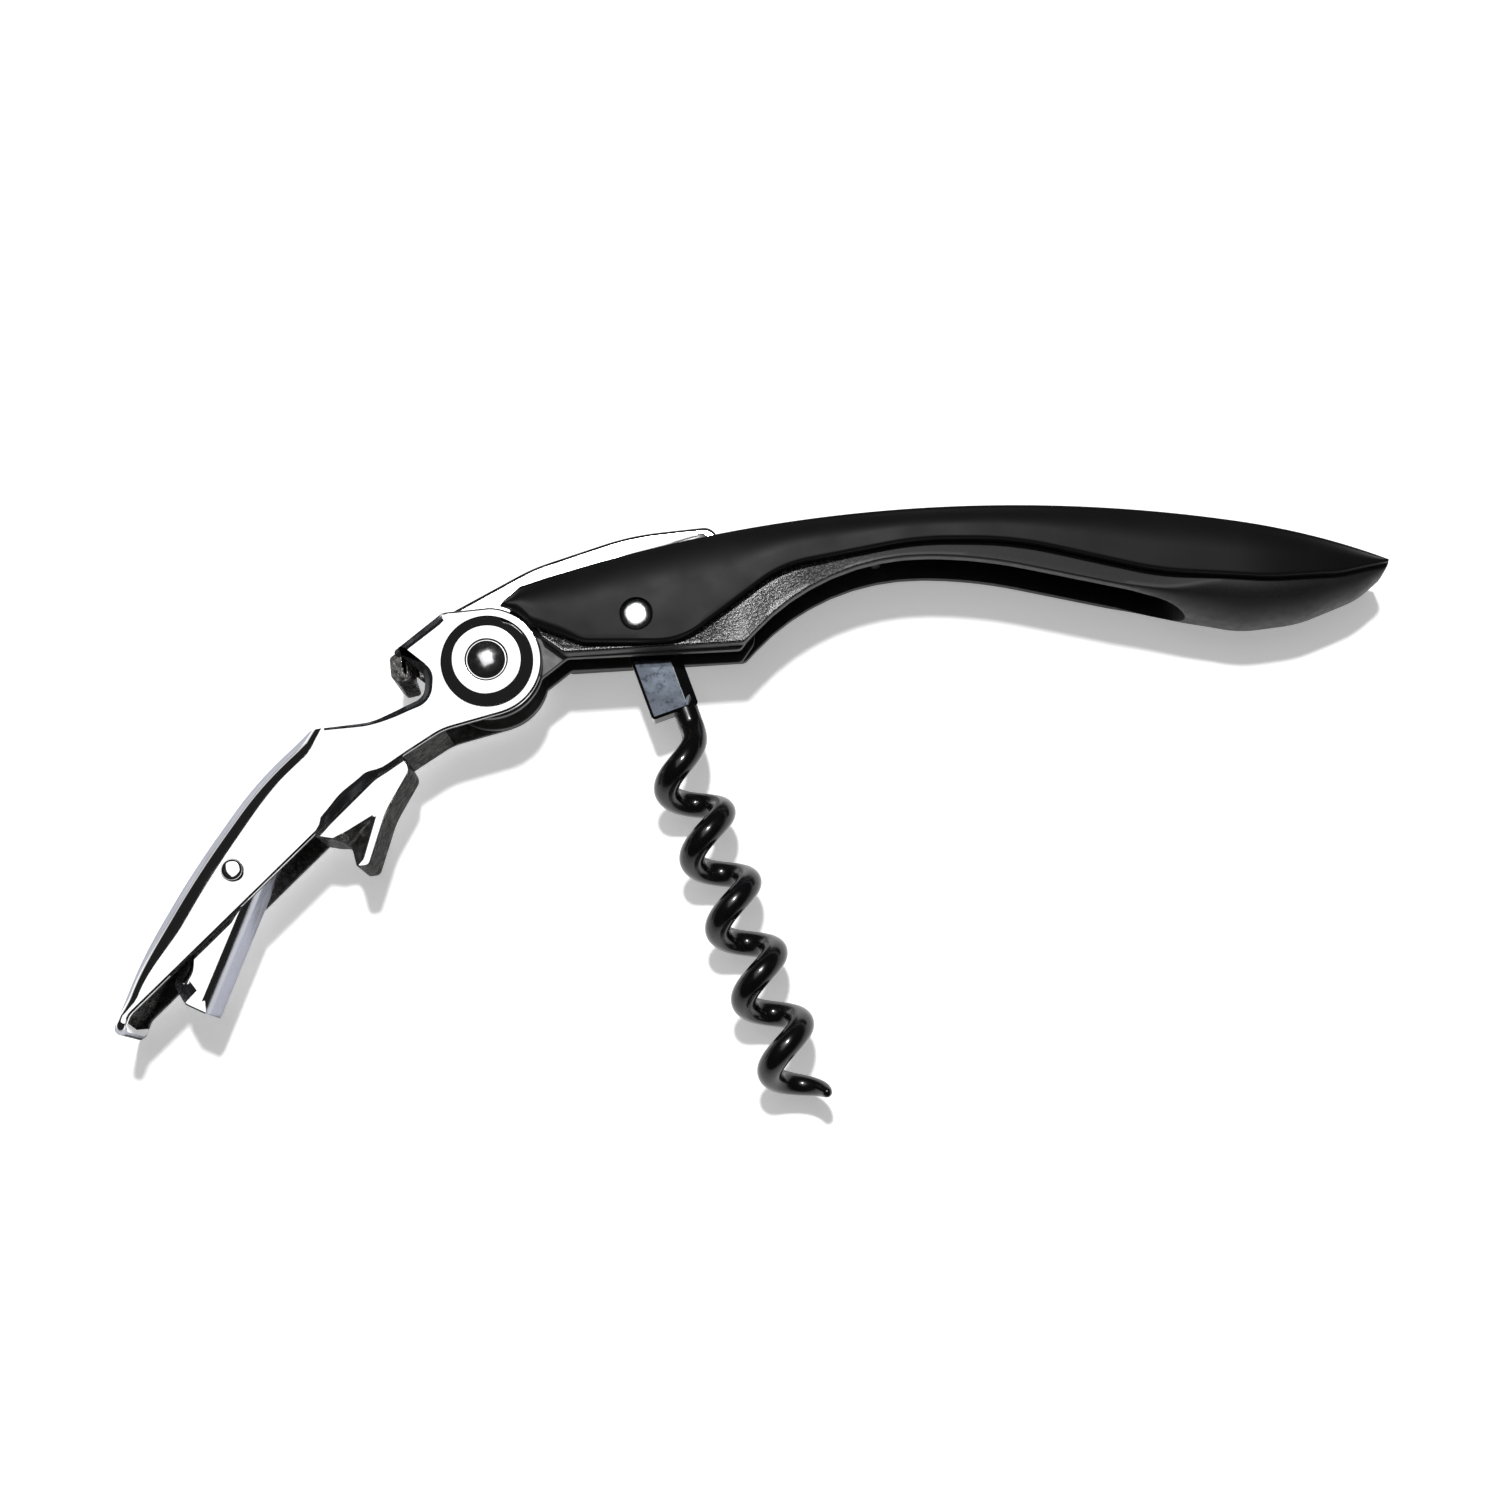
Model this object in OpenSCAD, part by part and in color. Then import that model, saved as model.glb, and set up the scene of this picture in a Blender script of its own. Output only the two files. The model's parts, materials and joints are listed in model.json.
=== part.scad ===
// Waiters corkscrew with a two-step lever, a cap lifter and a foil cutter.
// It lies on its side with the lever swung out, the worm drawn and the blade shut.
// Every outline is drawn about the main pivot, with X along the handle, and
// place() then moves the whole object onto its resting plane.

/* [Handle] */
// Distance from the main pivot to the tail of the handle
handle_reach = 113.9; // [112:0.1:116]
// Width of the frame across its two side walls
frame_w = 13.0; // [12.8:0.1:13.4]
// Width across the two outer scales
handle_w = 16.0; // [15.4:0.1:17]
// Radius of the long curve along the back of the handle
back_r = 189; // [180:1:200]
// Height of the back above the main pivot
back_rise = 20.0; // [19.8:0.1:20.4]
// Width of the slot that the worm folds into
slot_w = 9.8; // [9.4:0.1:10]
// Thickness of the frame's back above the worm slot
roof_t = 2.0; // [1.6:0.1:2.4]
// Thickness of each liner
liner_t = 1.2; // [1:0.1:1.2]

/* [Lever] */
// Width of the lever across its two side plates
lever_w = 12.0; // [11.8:0.1:12.4]
// Thickness of each side plate
lever_plate_t = 1.2; // [1:0.1:1.2]
// Radius of the lever's round pivot end
lever_boss_r = 6.87; // [6.6:0.01:7]
// Direction in which the lever points, from the handle's own direction
lever_dir = 225.3; // [224:0.1:227]
// Width of the first step's hook
hook_w = 9.0; // [8:0.1:9.4]

/* [Second step] */
// Distance from the main pivot to the second step's pin
step_reach = 40.4; // [40:0.1:41]
// Width of the second step across its two cheeks
step_w = 8.8; // [8.4:0.1:9]
// Sheet thickness of the second step
step_t = 1.2; // [1:0.1:1.4]
// Direction in which the second step points
step_dir = 249.4; // [247:0.1:252]

/* [Worm] */
// Outer diameter of the helix
worm_od = 9.0; // [8.6:0.1:9.2]
// Diameter of the worm's wire
wire_d = 3.2; // [2.8:0.1:3.4]
// Rise of the helix in one turn
worm_pitch = 9.4; // [9:0.1:9.8]
// Distance from the worm's pin to its point
worm_reach = 63.6; // [60:0.1:64.5]
// Direction in which the worm points
worm_dir = -69.8; // [-72:0.1:-68]

/* [Pivots] */
// Radius of the main pivot pin
pivot_r = 2.0; // [1.8:0.1:2.2]
// Radius of the pin that carries the worm
worm_pin_r = 1.3; // [1.1:0.1:1.4]
// Radius of the pin that carries the second step
step_pin_r = 1.0; // [0.9:0.1:1.1]
// Radial clearance of a hole that turns on its pin
run_fit = 0.04; // [0.02:0.01:0.08]

/* [Blade] */
// Thickness of the foil cutter
blade_t = 1.5; // [1.2:0.1:1.6]

/* [Hidden] */

// Fine segments for round parts
$fn = 64;
// Fixed fit of a hole on a pin of its own body
seat_fit = 0.02;
// Air left between flat faces that slide on each other
face_gap = 0.05;
// Air left under the head of a pin
head_gap = 0.02;
// Overlap that keeps a cut clean
cut = 1;

// Half widths of the layers, from the middle plane outwards
blade_z = blade_t / 2;
slot_z = 3.15;
liner_z0 = slot_z + face_gap;
liner_z1 = liner_z0 + liner_t;
lever_z1 = lever_w / 2;
lever_z0 = lever_z1 - lever_plate_t;
frame_z = frame_w / 2;
scale_z = handle_w / 2;
hook_z = hook_w / 2;
step_z = step_w / 2;
shank_z = wire_d / 2 + 0.1;
cap_z0 = lever_z1 + face_gap;
cap_z1 = 7.0;
pin_head_z = scale_z - 0.88;

// Outermost points from the main pivot, which place() centres
left_reach = 44.87;
low_reach = 53.8;
origin_shift = [(left_reach - handle_reach) / 2, (low_reach - back_rise) / 2, scale_z];

// Pin places
worm_pin_at = [18.7, 5.6];
spring_pin_at = [49, 15.4];
step_pin_at = [step_reach, -3.4];
spring_pin_r = 0.9;
washer_r = 4.6;
worm_washer_r = 2.9;
blade_spacer_r = 3.6;

// Handle outline: the back is one long arc, the rest is corners with their radii
back_centre = [66, back_rise - back_r];
arch_y = 12.98;
land_left = [9.8, 0.6];
land_right = [32.3, 1.48];
blade_slot_end = 30;
cheek_y = 10.9;
tail_start = 81;
keel_y = 11.5;
slot_start = 30.2;
slot_end = 88.3;
lever_room_r = 7.5;
taper_start = 94;
tail_taper = 3.6;
scale_peg_x = [57, 92];

// Corners of the lever, along its own length and across it, with their radii
lever_edge = [
    [-4.9, -4.8, 0], [-0.2, -8.6, 0.8], [8.35, -9.45, 0.5], [7.1, -8.2, 0.3],
    [6.6, -4.3, 1.4], [8.7, -2.4, 2], [15.5, -4.7, 8], [22.1, -9.85, 0.8],
    [31, -9.8, 12], [44, -7.3, 30], [55, -4.1, 25], [64.7, 0.5, 0.8],
    [63.7, 1.8, 0.6], [61.5, 0.6, 2], [29, 0.5, 0], [20, 0.4, 8],
    [14.9, 1.3, 3], [10, 2.3, 8], [3.2, 6.1, 0]
];
lever_back = [
    [21.1, -9.0, 0], [22.1, -9.85, 0.8], [31, -9.8, 12], [44, -7.3, 30],
    [55, -4.1, 25], [64.7, 0.5, 0.8], [63.7, 1.8, 0.6], [61.5, 0.6, 1],
    [60.8, -0.2, 1.5], [54.6, -2.7, 23], [43.7, -5.85, 28], [31, -8.3, 10.5],
    [21.6, -8.3, 0]
];
lifter_bar = [[5.4, -9.1, 0], [8.35, -9.45, 0.5], [7.1, -8.2, 0.3], [5.4, -7.75, 0.4]];
lifter_lip = [
    [6.3, -8.9, 0], [8.3, -9.3, 0.5], [9.8, -7.3, 0.5], [9.7, -6.2, 0.4], [8.2, -5.3, 0.4],
    [7.4, -7.2, 0.4], [6.3, -7.9, 0]
];
inner_wall = [
    [10.6, 2.05, 0], [14.9, 1.3, 3], [19, 0.45, 0], [18.6, -0.8, 0], [14.5, 0.05, 3], [10.3, 0.85, 0]
];
hook_web = [[16.5, -0.3, 0], [29.5, -0.3, 0], [28.6, 0.5, 0], [20, 0.4, 0], [16.4, 0.9, 0]];
first_hook = [
    [15.4, -0.4, 0.5], [31.2, -0.6, 0.8], [29.5, 1.8, 0.8], [27.9, 3.8, 2.2],
    [29.5, 6.9, 0.7], [28.2, 7.9, 0.8], [22, 4.5, 12], [16.2, 2.8, 1.2]
];

// Corners of the second step's cheeks, along it and across it from its pin
step_edge = [
    [0, -2.5, 0], [9, -0.5, 12], [15.4, -2.0, 1.3], [17.3, 0.4, 2],
    [17.5, 3.6, 0.4], [-4.2, 3.6, 0.8], [-3.4, 1.6, 0.6], [-1.8, 1.7, 0]
];
step_back_edge = [[17.5, 2.4, 0], [17.5, 3.6, 0.4], [-4.2, 3.6, 0.4], [-4.2, 2.4, 0]];

// Corners of the foil cutter, about the main pivot
blade_edge = [
    [-5.5, -5.5, 4.5], [-5.3, 7.5, 1.2], [5.0, 13.3, 22], [17.5, 17.6, 34],
    [28.2, 18.8, 1.8], [28.9, 16.6, 0.5], [23, 12.7, 8], [15, 10.4, 10],
    [6, 8.8, 2], [5.5, -5.5, 4.5]
];

// Corners of the back spring, from the pin to its tip under the blade
spring_edge = [
    [50.5, 13.9, 1.1], [48.0, 14.3, 2], [39, 13.1, 30], [31.2, 11.6, 0.4], [31.0, 12.5, 0.3],
    [39, 14.2, 30], [48.0, 16.5, 1], [50.5, 16.9, 1.1]
];

// Worm: the rod leaves the shank on one side and winds into the helix
worm_axis_off = -1.0;
helix_r = (worm_od - wire_d) / 2;
shank_end = 12.2;
rod_start = 9.5;
helix_start = 15.0;
ease_in = 3;
ring_step = 18;
ring_sides = 10;
point_r = 0.35;
taper_turn = 230;

function unit(v) = v / norm(v);
function arc(c, r, a0, a1, n) =
    [for (k = [0:n]) let (a = a0 + (a1 - a0) * k / n) c + r * [cos(a), sin(a)]];
function short_turn(a) = a > 180 ? a - 360 : a < -180 ? a + 360 : a;

// The arc that rounds corner b between a and c
function fillet(a, b, c, r, n) =
    let (u = unit(a - b), v = unit(c - b), half = acos(u * v) / 2)
    let (m = b + unit(u + v) * r / sin(half))
    let (p = b + u * (r / tan(half)), q = b + v * (r / tan(half)))
    let (a0 = atan2(p.y - m.y, p.x - m.x), a1 = atan2(q.y - m.y, q.x - m.x))
    arc(m, r, a0, a0 + short_turn(a1 - a0), n);
function flat2(p) = [p.x, p.y];
function rounded(v, n = 6) =
    [for (i = [0:len(v) - 1])
        let (b = v[i], a = v[(i + len(v) - 1) % len(v)], c = v[(i + 1) % len(v)])
        each (b.z == 0 ? [flat2(b)] : fillet(flat2(a), flat2(b), flat2(c), b.z, n))];

// The arc of the handle's back, or a line inset below it
function back_y(x, inset = 0) =
    back_centre.y + sqrt(pow(back_r - inset, 2) - pow(x - back_centre.x, 2));
function back_line(x0, x1, inset, n) =
    [for (k = [0:n]) let (x = x0 + (x1 - x0) * k / n) [x, back_y(x, inset), 0]];

module place() {
    translate(origin_shift) children();
}

// A flat layer between two heights
module layer(z0, z1) {
    translate([0, 0, z0]) linear_extrude(z1 - z0) children();
}

// A layer and its mirror image below the middle plane
module both_layers(z0, z1) {
    layer(z0, z1) children();
    layer(-z1, -z0) children();
}

module shape(corners) {
    polygon(rounded(corners));
}

module along(dir) {
    rotate([0, 0, dir]) children();
}

module at_step() {
    along(lever_dir) translate(step_pin_at) rotate([0, 0, step_dir - lever_dir]) children();
}

module drill(at, r) {
    translate([at.x, at.y, -scale_z - cut]) cylinder(r = r, h = 2 * (scale_z + cut));
}

module ring(r_out, r_in, z0, z1) {
    translate([0, 0, z0]) difference() {
        cylinder(r = r_out, h = z1 - z0);
        translate([0, 0, -cut]) cylinder(r = r_in, h = z1 - z0 + 2 * cut);
    }
}

// A low rounded rivet head standing on height z
module dome(r, h, z) {
    ball = (r * r + h * h) / (2 * h);
    translate([0, 0, z]) rotate_extrude()
        polygon(concat([[0, 0]], [for (k = [0:8]) let (a = asin(r / ball) * (1 - k / 8))
            [ball * sin(a), ball * cos(a) - ball + h]]));
}

// A pin with a rounded head on each end
module rivet(r, head_z, head_r, head_h) {
    cylinder(r = r, h = 2 * head_z, center = true);
    dome(head_r, head_h, head_z);
    mirror([0, 0, 1]) dome(head_r, head_h, head_z);
}

// ---- Handle ----

module handle_outline() {
    shape(concat(
        back_line(2.6, handle_reach - 1.4, 0, 40),
        [[handle_reach + 0.2, 13.5, 0.6], [113, 10.9, 1.2], [106, 5.9, 14], [96, 4.9, 30],
            [88.6, 5.6, 0.8], [84.5, 8.7, 3], [64, arch_y, 85], [39.8, arch_y, 22],
            [land_right.x, land_right.y, 0.8], [land_left.x, land_left.y, 0.9], [2.4, 6.0, 0]]));
}

// One edge of the handle's plan, which curves in towards the tail
function plan_edge(half_w) =
    [for (x = [0, taper_start, 99, 102, 105, 108, 111, handle_reach])
        [x, half_w - tail_taper * pow(max(x - taper_start, 0) / (handle_reach - taper_start), 2)]];
function across_plan(edge) = [for (k = [len(edge) - 1:-1:0]) [edge[k].x, -edge[k].y]];
function backwards(v) = [for (k = [len(v) - 1:-1:0]) v[k]];

module up_from_plan(y0, y1) {
    translate([0, y1, 0]) rotate([90, 0, 0]) linear_extrude(y1 - y0) children();
}

// The bulge under the tail is rounded across its bottom
module tail_section() {
    translate([tail_start, 0, 0]) rotate([90, 0, 90]) linear_extrude(handle_reach - tail_start) {
        translate([keel_y + 0.1, -frame_z]) square([12, frame_w]);
        translate([keel_y, 0]) circle(r = frame_z + 0.1);
    }
}

module worm_slot_plan() {
    slot_r = slot_w / 2;
    translate([slot_start, -slot_r]) square([slot_end - slot_r - slot_start, slot_w]);
    translate([slot_end - slot_r, 0]) circle(r = slot_r);
}

module handle_body() {
    difference() {
        intersection() {
            layer(-frame_z, frame_z) handle_outline();
            up_from_plan(-2, 24) polygon(concat(plan_edge(frame_z), across_plan(plan_edge(frame_z))));
            union() {
                translate([0, -2, -frame_z]) cube([tail_start + cut, 26, frame_w]);
                tail_section();
            }
        }
        cylinder(r = lever_room_r, h = 4 * scale_z, center = true);
    }
}

module handle_frame() {
    color([0.05, 0.05, 0.05]) place() difference() {
        handle_body();
        // Slot for the folded worm, under an arched roof
        intersection() {
            up_from_plan(-3, 24) worm_slot_plan();
            layer(-frame_z, frame_z)
                shape(concat(back_line(slot_start - cut, slot_end + cut, roof_t, 24),
                    [[slot_end + cut, -3, 0], [slot_start - cut, -3, 0]]));
        }
        // Space between the liners for the shank, and pockets for the liners
        layer(-slot_z, slot_z)
            polygon([[0, -3], [slot_start + cut, -3], [slot_start + cut, cheek_y], [0, cheek_y]]);
        both_layers(slot_z - cut / 2, liner_z1 + face_gap) liner_pocket();
        // Slot in the back for the blade
        layer(-blade_z - 0.3, blade_z + 0.3)
            polygon([[0, 0], [blade_slot_end, 0], [blade_slot_end, 24], [0, 24]]);
        drill(worm_pin_at, worm_pin_r + seat_fit);
        drill(spring_pin_at, spring_pin_r + seat_fit);
        scale_pegs(1.05, 1.2);
        mirror([0, 0, 1]) scale_pegs(1.05, 1.2);
    }
}

module liner_outline() {
    circle(r = 7);
    polygon(rounded([[6.76, -1.81, 0.6], [9.9, 0.72, 1], [33.6, 1.62, 0.8], [33.6, 12.2, 1],
        [14, 10.8, 4], [2.2, 6.6, 0], [0, 0, 0]]));
}

module liner_pocket() {
    polygon([[0, -3], [33.8, -3], [33.8, 12.4], [13.8, 11.0], [2.2, 6.8], [0, 6.8]]);
}

module liner(z0, z1) {
    color([0.09, 0.09, 0.1]) place() difference() {
        layer(z0, z1) liner_outline();
        drill([0, 0], pivot_r + seat_fit);
        drill(worm_pin_at, worm_pin_r + seat_fit);
    }
}

module liner_front() {
    liner(liner_z0, liner_z1);
}

module liner_rear() {
    liner(-liner_z1, -liner_z0);
}

module scale_outline() {
    shape(concat(
        back_line(3.2, handle_reach - 1.7, 0.15, 40),
        [[handle_reach, 13.2, 0.4], [107, 11.2, 12], [98, 10.3, 30], [84, 11.1, 40],
            [66, 15.25, 45], [46, 15.25, 20], [30.5, 6.6, 20], [22.4, 1.4, 7], [11.6, 1.4, 4],
            [6.2, 3.9, 1.5], [2.6, 7.2, 0]]));
}

// Pegs on the scales and their blind holes in the frame
module scale_pegs(r, depth) {
    for (x = scale_peg_x)
        translate([x, back_y(x) - 3, frame_z - depth]) cylinder(r = r, h = depth + 0.8);
}

module scale_blank() {
    difference() {
        intersection() {
            layer(0, scale_z) scale_outline();
            up_from_plan(-2, 24)
                polygon(concat(plan_edge(scale_z), backwards(plan_edge(frame_z + 0.02))));
        }
        cylinder(r = lever_room_r + 0.1, h = 4 * scale_z, center = true);
        drill(worm_pin_at, worm_pin_r + seat_fit);
        translate([worm_pin_at.x, worm_pin_at.y, scale_z - 0.9]) cylinder(r = 2.15, h = 2);
    }
}

module scale_front() {
    color([0.03, 0.03, 0.035]) place() {
        scale_blank();
        scale_pegs(1, 1.1);
    }
}

module scale_rear() {
    color([0.03, 0.03, 0.035]) place() mirror([0, 0, 1]) {
        scale_blank();
        scale_pegs(1, 1.1);
    }
}

// ---- Main pivot ----

module main_pivot_pin() {
    color([0.35, 0.35, 0.37]) place() rivet(pivot_r, cap_z1 + head_gap, 2.38, 0.75);
}

module pivot_cap() {
    eye_r = pivot_r + seat_fit;
    rotate_extrude()
        polygon([[eye_r, cap_z0], [5.8, cap_z0], [5.8, cap_z0 + 0.3], [4.35, cap_z1], [eye_r, cap_z1]]);
}

module pivot_cap_front() {
    color([0.85, 0.85, 0.87]) place() pivot_cap();
}

module pivot_cap_rear() {
    color([0.85, 0.85, 0.87]) place() mirror([0, 0, 1]) pivot_cap();
}

module pivot_washer_front() {
    color([0.7, 0.6, 0.35]) place()
        ring(washer_r, pivot_r + seat_fit, liner_z1 + head_gap, lever_z0 - head_gap);
}

module pivot_washer_rear() {
    color([0.7, 0.6, 0.35]) place()
        ring(washer_r, pivot_r + seat_fit, head_gap - lever_z0, -liner_z1 - head_gap);
}

// ---- Lever ----

module lever_body() {
    color([0.8, 0.8, 0.82]) place() along(lever_dir) difference() {
        union() {
            both_layers(lever_z0, lever_z1) {
                circle(r = lever_boss_r);
                shape(lever_edge);
            }
            layer(-lever_z1, lever_z1) shape(lever_back);
            layer(-lever_z1, lever_z1) shape(lifter_bar);
            layer(-lever_z0 - 0.5, lever_z0 + 0.5) shape(lifter_lip);
            layer(-lever_z0 - 0.5, lever_z0 + 0.5) shape(inner_wall);
            layer(-hook_z, hook_z) shape(first_hook);
            both_layers(hook_z - 0.5, lever_z0 + 0.5) shape(hook_web);
        }
        drill([0, 0], pivot_r + run_fit);
        drill(step_pin_at, step_pin_r + seat_fit);
    }
}

module second_step() {
    color([0.78, 0.78, 0.8]) place() at_step() difference() {
        union() {
            both_layers(step_z - step_t, step_z) {
                circle(r = 2.5);
                shape(step_edge);
            }
            layer(-step_z, step_z) shape(step_back_edge);
        }
        drill([0, 0], step_pin_r + run_fit);
    }
}

module second_step_pin() {
    color([0.75, 0.75, 0.77]) place() at_step() rivet(step_pin_r, lever_z1 + head_gap, 1.4, 0.95);
}

// ---- Worm ----

// How far the helix has turned at distance s along the worm, in degrees
function worm_turn(s) =
    let (x = max(s - helix_start, 0))
    360 / worm_pitch * (x < ease_in ? x * x / (2 * ease_in) : x - ease_in / 2);
worm_turns = worm_turn(worm_reach);
function wire_r(turn) =
    let (left = min((worm_turns - turn) / taper_turn, 1))
    point_r + (wire_d / 2 - point_r) * sqrt(left * (2 - left));
function helix_s(turn) = helix_start + ease_in / 2 + turn * worm_pitch / 360;
// Stations along the wire: two on the rod, some in the bend, then even steps of turn
worm_stations = concat(
    [rod_start, helix_start - 2],
    [for (k = [0:3]) helix_start + ease_in * k / 4],
    [for (t = [worm_turn(helix_start + ease_in) : ring_step : worm_turns - 2]) helix_s(t)],
    [worm_reach]);
function worm_ring(s) =
    let (t = worm_turn(s), radial = [cos(t), sin(t), 0], round_it = [-sin(t), cos(t), 0])
    let (grown = min(max(s - helix_start, 0) / ease_in, 1))
    let (rate = 2 * PI * helix_r / worm_pitch * grown)
    let (across = unit(cross(radial, unit(round_it * rate + [0, 0, 1]))))
    [for (k = [0:ring_sides - 1]) let (a = 360 * k / ring_sides)
        [worm_axis_off, 0, s] + radial * helix_r + wire_r(t) * (radial * cos(a) + across * sin(a))];

module worm_wire() {
    rings = len(worm_stations);
    last = (rings - 1) * ring_sides;
    polyhedron(
        points = [for (s = worm_stations) each worm_ring(s)],
        faces = concat(
            [[for (k = [ring_sides - 1:-1:0]) k]],
            [for (i = [0:rings - 2], k = [0:ring_sides - 1])
                let (a = i * ring_sides + k, b = i * ring_sides + (k + 1) % ring_sides)
                each [[b, b + ring_sides, a], [b + ring_sides, a + ring_sides, a]]],
            [[for (k = [0:ring_sides - 1]) last + k]]),
        convexity = 10);
}

// The worm's flat shank, along it and across it from its pin
module worm_shank() {
    layer(-shank_z, shank_z)
        shape([[-3.1, -2.5, 2.4], [shank_end, -2.5, 0.4], [shank_end, 3.7, 0.4], [-3.1, 3.7, 2.4]]);
}

module worm() {
    color([0.02, 0.02, 0.02]) place() translate(worm_pin_at) along(worm_dir) {
        difference() {
            worm_shank();
            drill([0, 0], worm_pin_r + run_fit);
        }
        rotate([0, 90, 0]) rotate([0, 0, 90]) worm_wire();
    }
}

module worm_pin() {
    color([0.8, 0.8, 0.82]) place() translate(worm_pin_at)
        rivet(worm_pin_r, pin_head_z, 2.05, 0.86);
}

module worm_washer_front() {
    color([0.7, 0.6, 0.35]) place() translate(worm_pin_at)
        ring(worm_washer_r, worm_pin_r + seat_fit, shank_z + face_gap, slot_z);
}

module worm_washer_rear() {
    color([0.7, 0.6, 0.35]) place() translate(worm_pin_at)
        ring(worm_washer_r, worm_pin_r + seat_fit, -slot_z, -shank_z - face_gap);
}

// ---- Foil cutter ----

module foil_cutter() {
    color([0.82, 0.82, 0.84]) place() difference() {
        layer(-blade_z, blade_z) shape(blade_edge);
        drill([0, 0], pivot_r + run_fit);
    }
}

module blade_spacer_front() {
    color([0.7, 0.6, 0.35]) place() ring(blade_spacer_r, pivot_r + seat_fit, blade_z + face_gap, slot_z);
}

module blade_spacer_rear() {
    color([0.7, 0.6, 0.35]) place()
        ring(blade_spacer_r, pivot_r + seat_fit, -slot_z, -blade_z - face_gap);
}

// ---- Back spring ----

module back_spring() {
    color([0.55, 0.55, 0.58]) place() difference() {
        layer(-2.6, 2.6) shape(spring_edge);
        drill(spring_pin_at, spring_pin_r + seat_fit);
    }
}

module spring_pin() {
    color([0.55, 0.55, 0.58]) place() translate(spring_pin_at)
        cylinder(r = spring_pin_r, h = frame_w - 0.1, center = true);
}

handle_frame();
liner_front();
liner_rear();
scale_front();
scale_rear();
main_pivot_pin();
pivot_cap_front();
pivot_cap_rear();
pivot_washer_front();
pivot_washer_rear();
lever_body();
second_step();
second_step_pin();
worm();
worm_pin();
worm_washer_front();
worm_washer_rear();
foil_cutter();
blade_spacer_front();
blade_spacer_rear();
back_spring();
spring_pin();
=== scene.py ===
"""Looks of the waiters corkscrew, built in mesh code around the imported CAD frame.

Shapes are drawn in millimetres about the main pivot, with X along the handle,
Y towards its back and Z towards the camera, and row() turns them into the frame.
"""
import json
import math

import bmesh
import bpy
from mathutils import Matrix, Vector


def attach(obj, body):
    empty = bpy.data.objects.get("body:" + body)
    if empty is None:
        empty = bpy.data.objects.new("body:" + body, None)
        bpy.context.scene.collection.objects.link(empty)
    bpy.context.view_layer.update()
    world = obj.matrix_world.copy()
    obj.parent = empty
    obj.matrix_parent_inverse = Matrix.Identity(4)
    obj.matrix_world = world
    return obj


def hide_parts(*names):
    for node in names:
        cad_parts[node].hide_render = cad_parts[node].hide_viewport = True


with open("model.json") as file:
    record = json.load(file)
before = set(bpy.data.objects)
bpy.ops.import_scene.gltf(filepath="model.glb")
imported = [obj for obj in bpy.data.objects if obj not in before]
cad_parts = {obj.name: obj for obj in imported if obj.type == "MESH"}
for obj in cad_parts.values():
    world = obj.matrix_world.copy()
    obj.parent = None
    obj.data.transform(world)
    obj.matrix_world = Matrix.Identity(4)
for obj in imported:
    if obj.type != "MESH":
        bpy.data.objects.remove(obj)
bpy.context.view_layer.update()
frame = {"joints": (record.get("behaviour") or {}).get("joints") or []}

MM = 0.001
JOINTS = {joint["name"]: joint for joint in frame["joints"]}
PIVOT = Vector(JOINTS["lever_pivot"]["pos_m"])


def row(x, y, z):
    """A point drawn about the main pivot, in millimetres, as a point of the frame."""
    return PIVOT + Vector((x, y, z)) * MM


def drawn(joint):
    """Where a joint's pivot is drawn, in millimetres."""
    at = (Vector(JOINTS[joint]["pos_m"]) - PIVOT) / MM
    return at.x, at.y


# ---- Outlines ----


def polar(r, degrees):
    a = math.radians(degrees)
    return r * math.cos(a), r * math.sin(a)


def fillet(a, b, c, r, n):
    """Points of the arc of radius r that rounds corner b."""
    a, b, c = Vector(a), Vector(b), Vector(c)
    u, v = (a - b).normalized(), (c - b).normalized()
    half = math.acos(max(-1, min(1, u.dot(v)))) / 2
    m = b + (u + v).normalized() * (r / math.sin(half))
    p, q = b + u * (r / math.tan(half)), b + v * (r / math.tan(half))
    a0 = math.atan2(p.y - m.y, p.x - m.x)
    turn = math.remainder(math.atan2(q.y - m.y, q.x - m.x) - a0, 2 * math.pi)
    angles = [a0 + turn * k / n for k in range(n + 1)]
    return [(m.x + r * math.cos(a), m.y + r * math.sin(a)) for a in angles]


def rounded(corners, n=6, closed=True):
    """Corners (x, y, radius) as one smooth outline."""
    out = []
    last = len(corners) - 1
    for i, (x, y, r) in enumerate(corners):
        if r == 0 or (not closed and i in (0, last)):
            out.append((x, y))
            continue
        before, after = corners[i - 1], corners[(i + 1) % len(corners)]
        out += fillet(before[:2], (x, y), after[:2], r, n)
    return out


def divided(points, step):
    """The same closed outline with no side longer than step."""
    out = []
    for i in range(len(points)):
        (x0, y0), (x1, y1) = points[i], points[(i + 1) % len(points)]
        parts = max(1, math.ceil(math.hypot(x1 - x0, y1 - y0) / step))
        out += [(x0 + (x1 - x0) * k / parts, y0 + (y1 - y0) * k / parts) for k in range(parts)]
    return out


def arc_points(r, a0, a1, n):
    return [polar(r, a0 + (a1 - a0) * k / n) for k in range(n + 1)]


def reader(points):
    """A function that reads y off a line of points in order of x."""
    line = sorted(points)

    def read(x):
        if x <= line[0][0]:
            return line[0][1]
        for (x0, y0), (x1, y1) in zip(line, line[1:]):
            if x <= x1:
                return y0 + (y1 - y0) * (x - x0) / max(x1 - x0, 1e-9)
        return line[-1][1]

    return read


def ease(t):
    t = min(max(t, 0.0), 1.0)
    return t * t * (3 - 2 * t)


def stepped(value, table):
    """Smooth value between (position, amount) pairs."""
    if value <= table[0][0]:
        return table[0][1]
    for (p0, a0), (p1, a1) in zip(table, table[1:]):
        if value <= p1:
            return a0 + (a1 - a0) * ease((value - p0) / (p1 - p0))
    return table[-1][1]


# ---- Meshes ----

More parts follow.
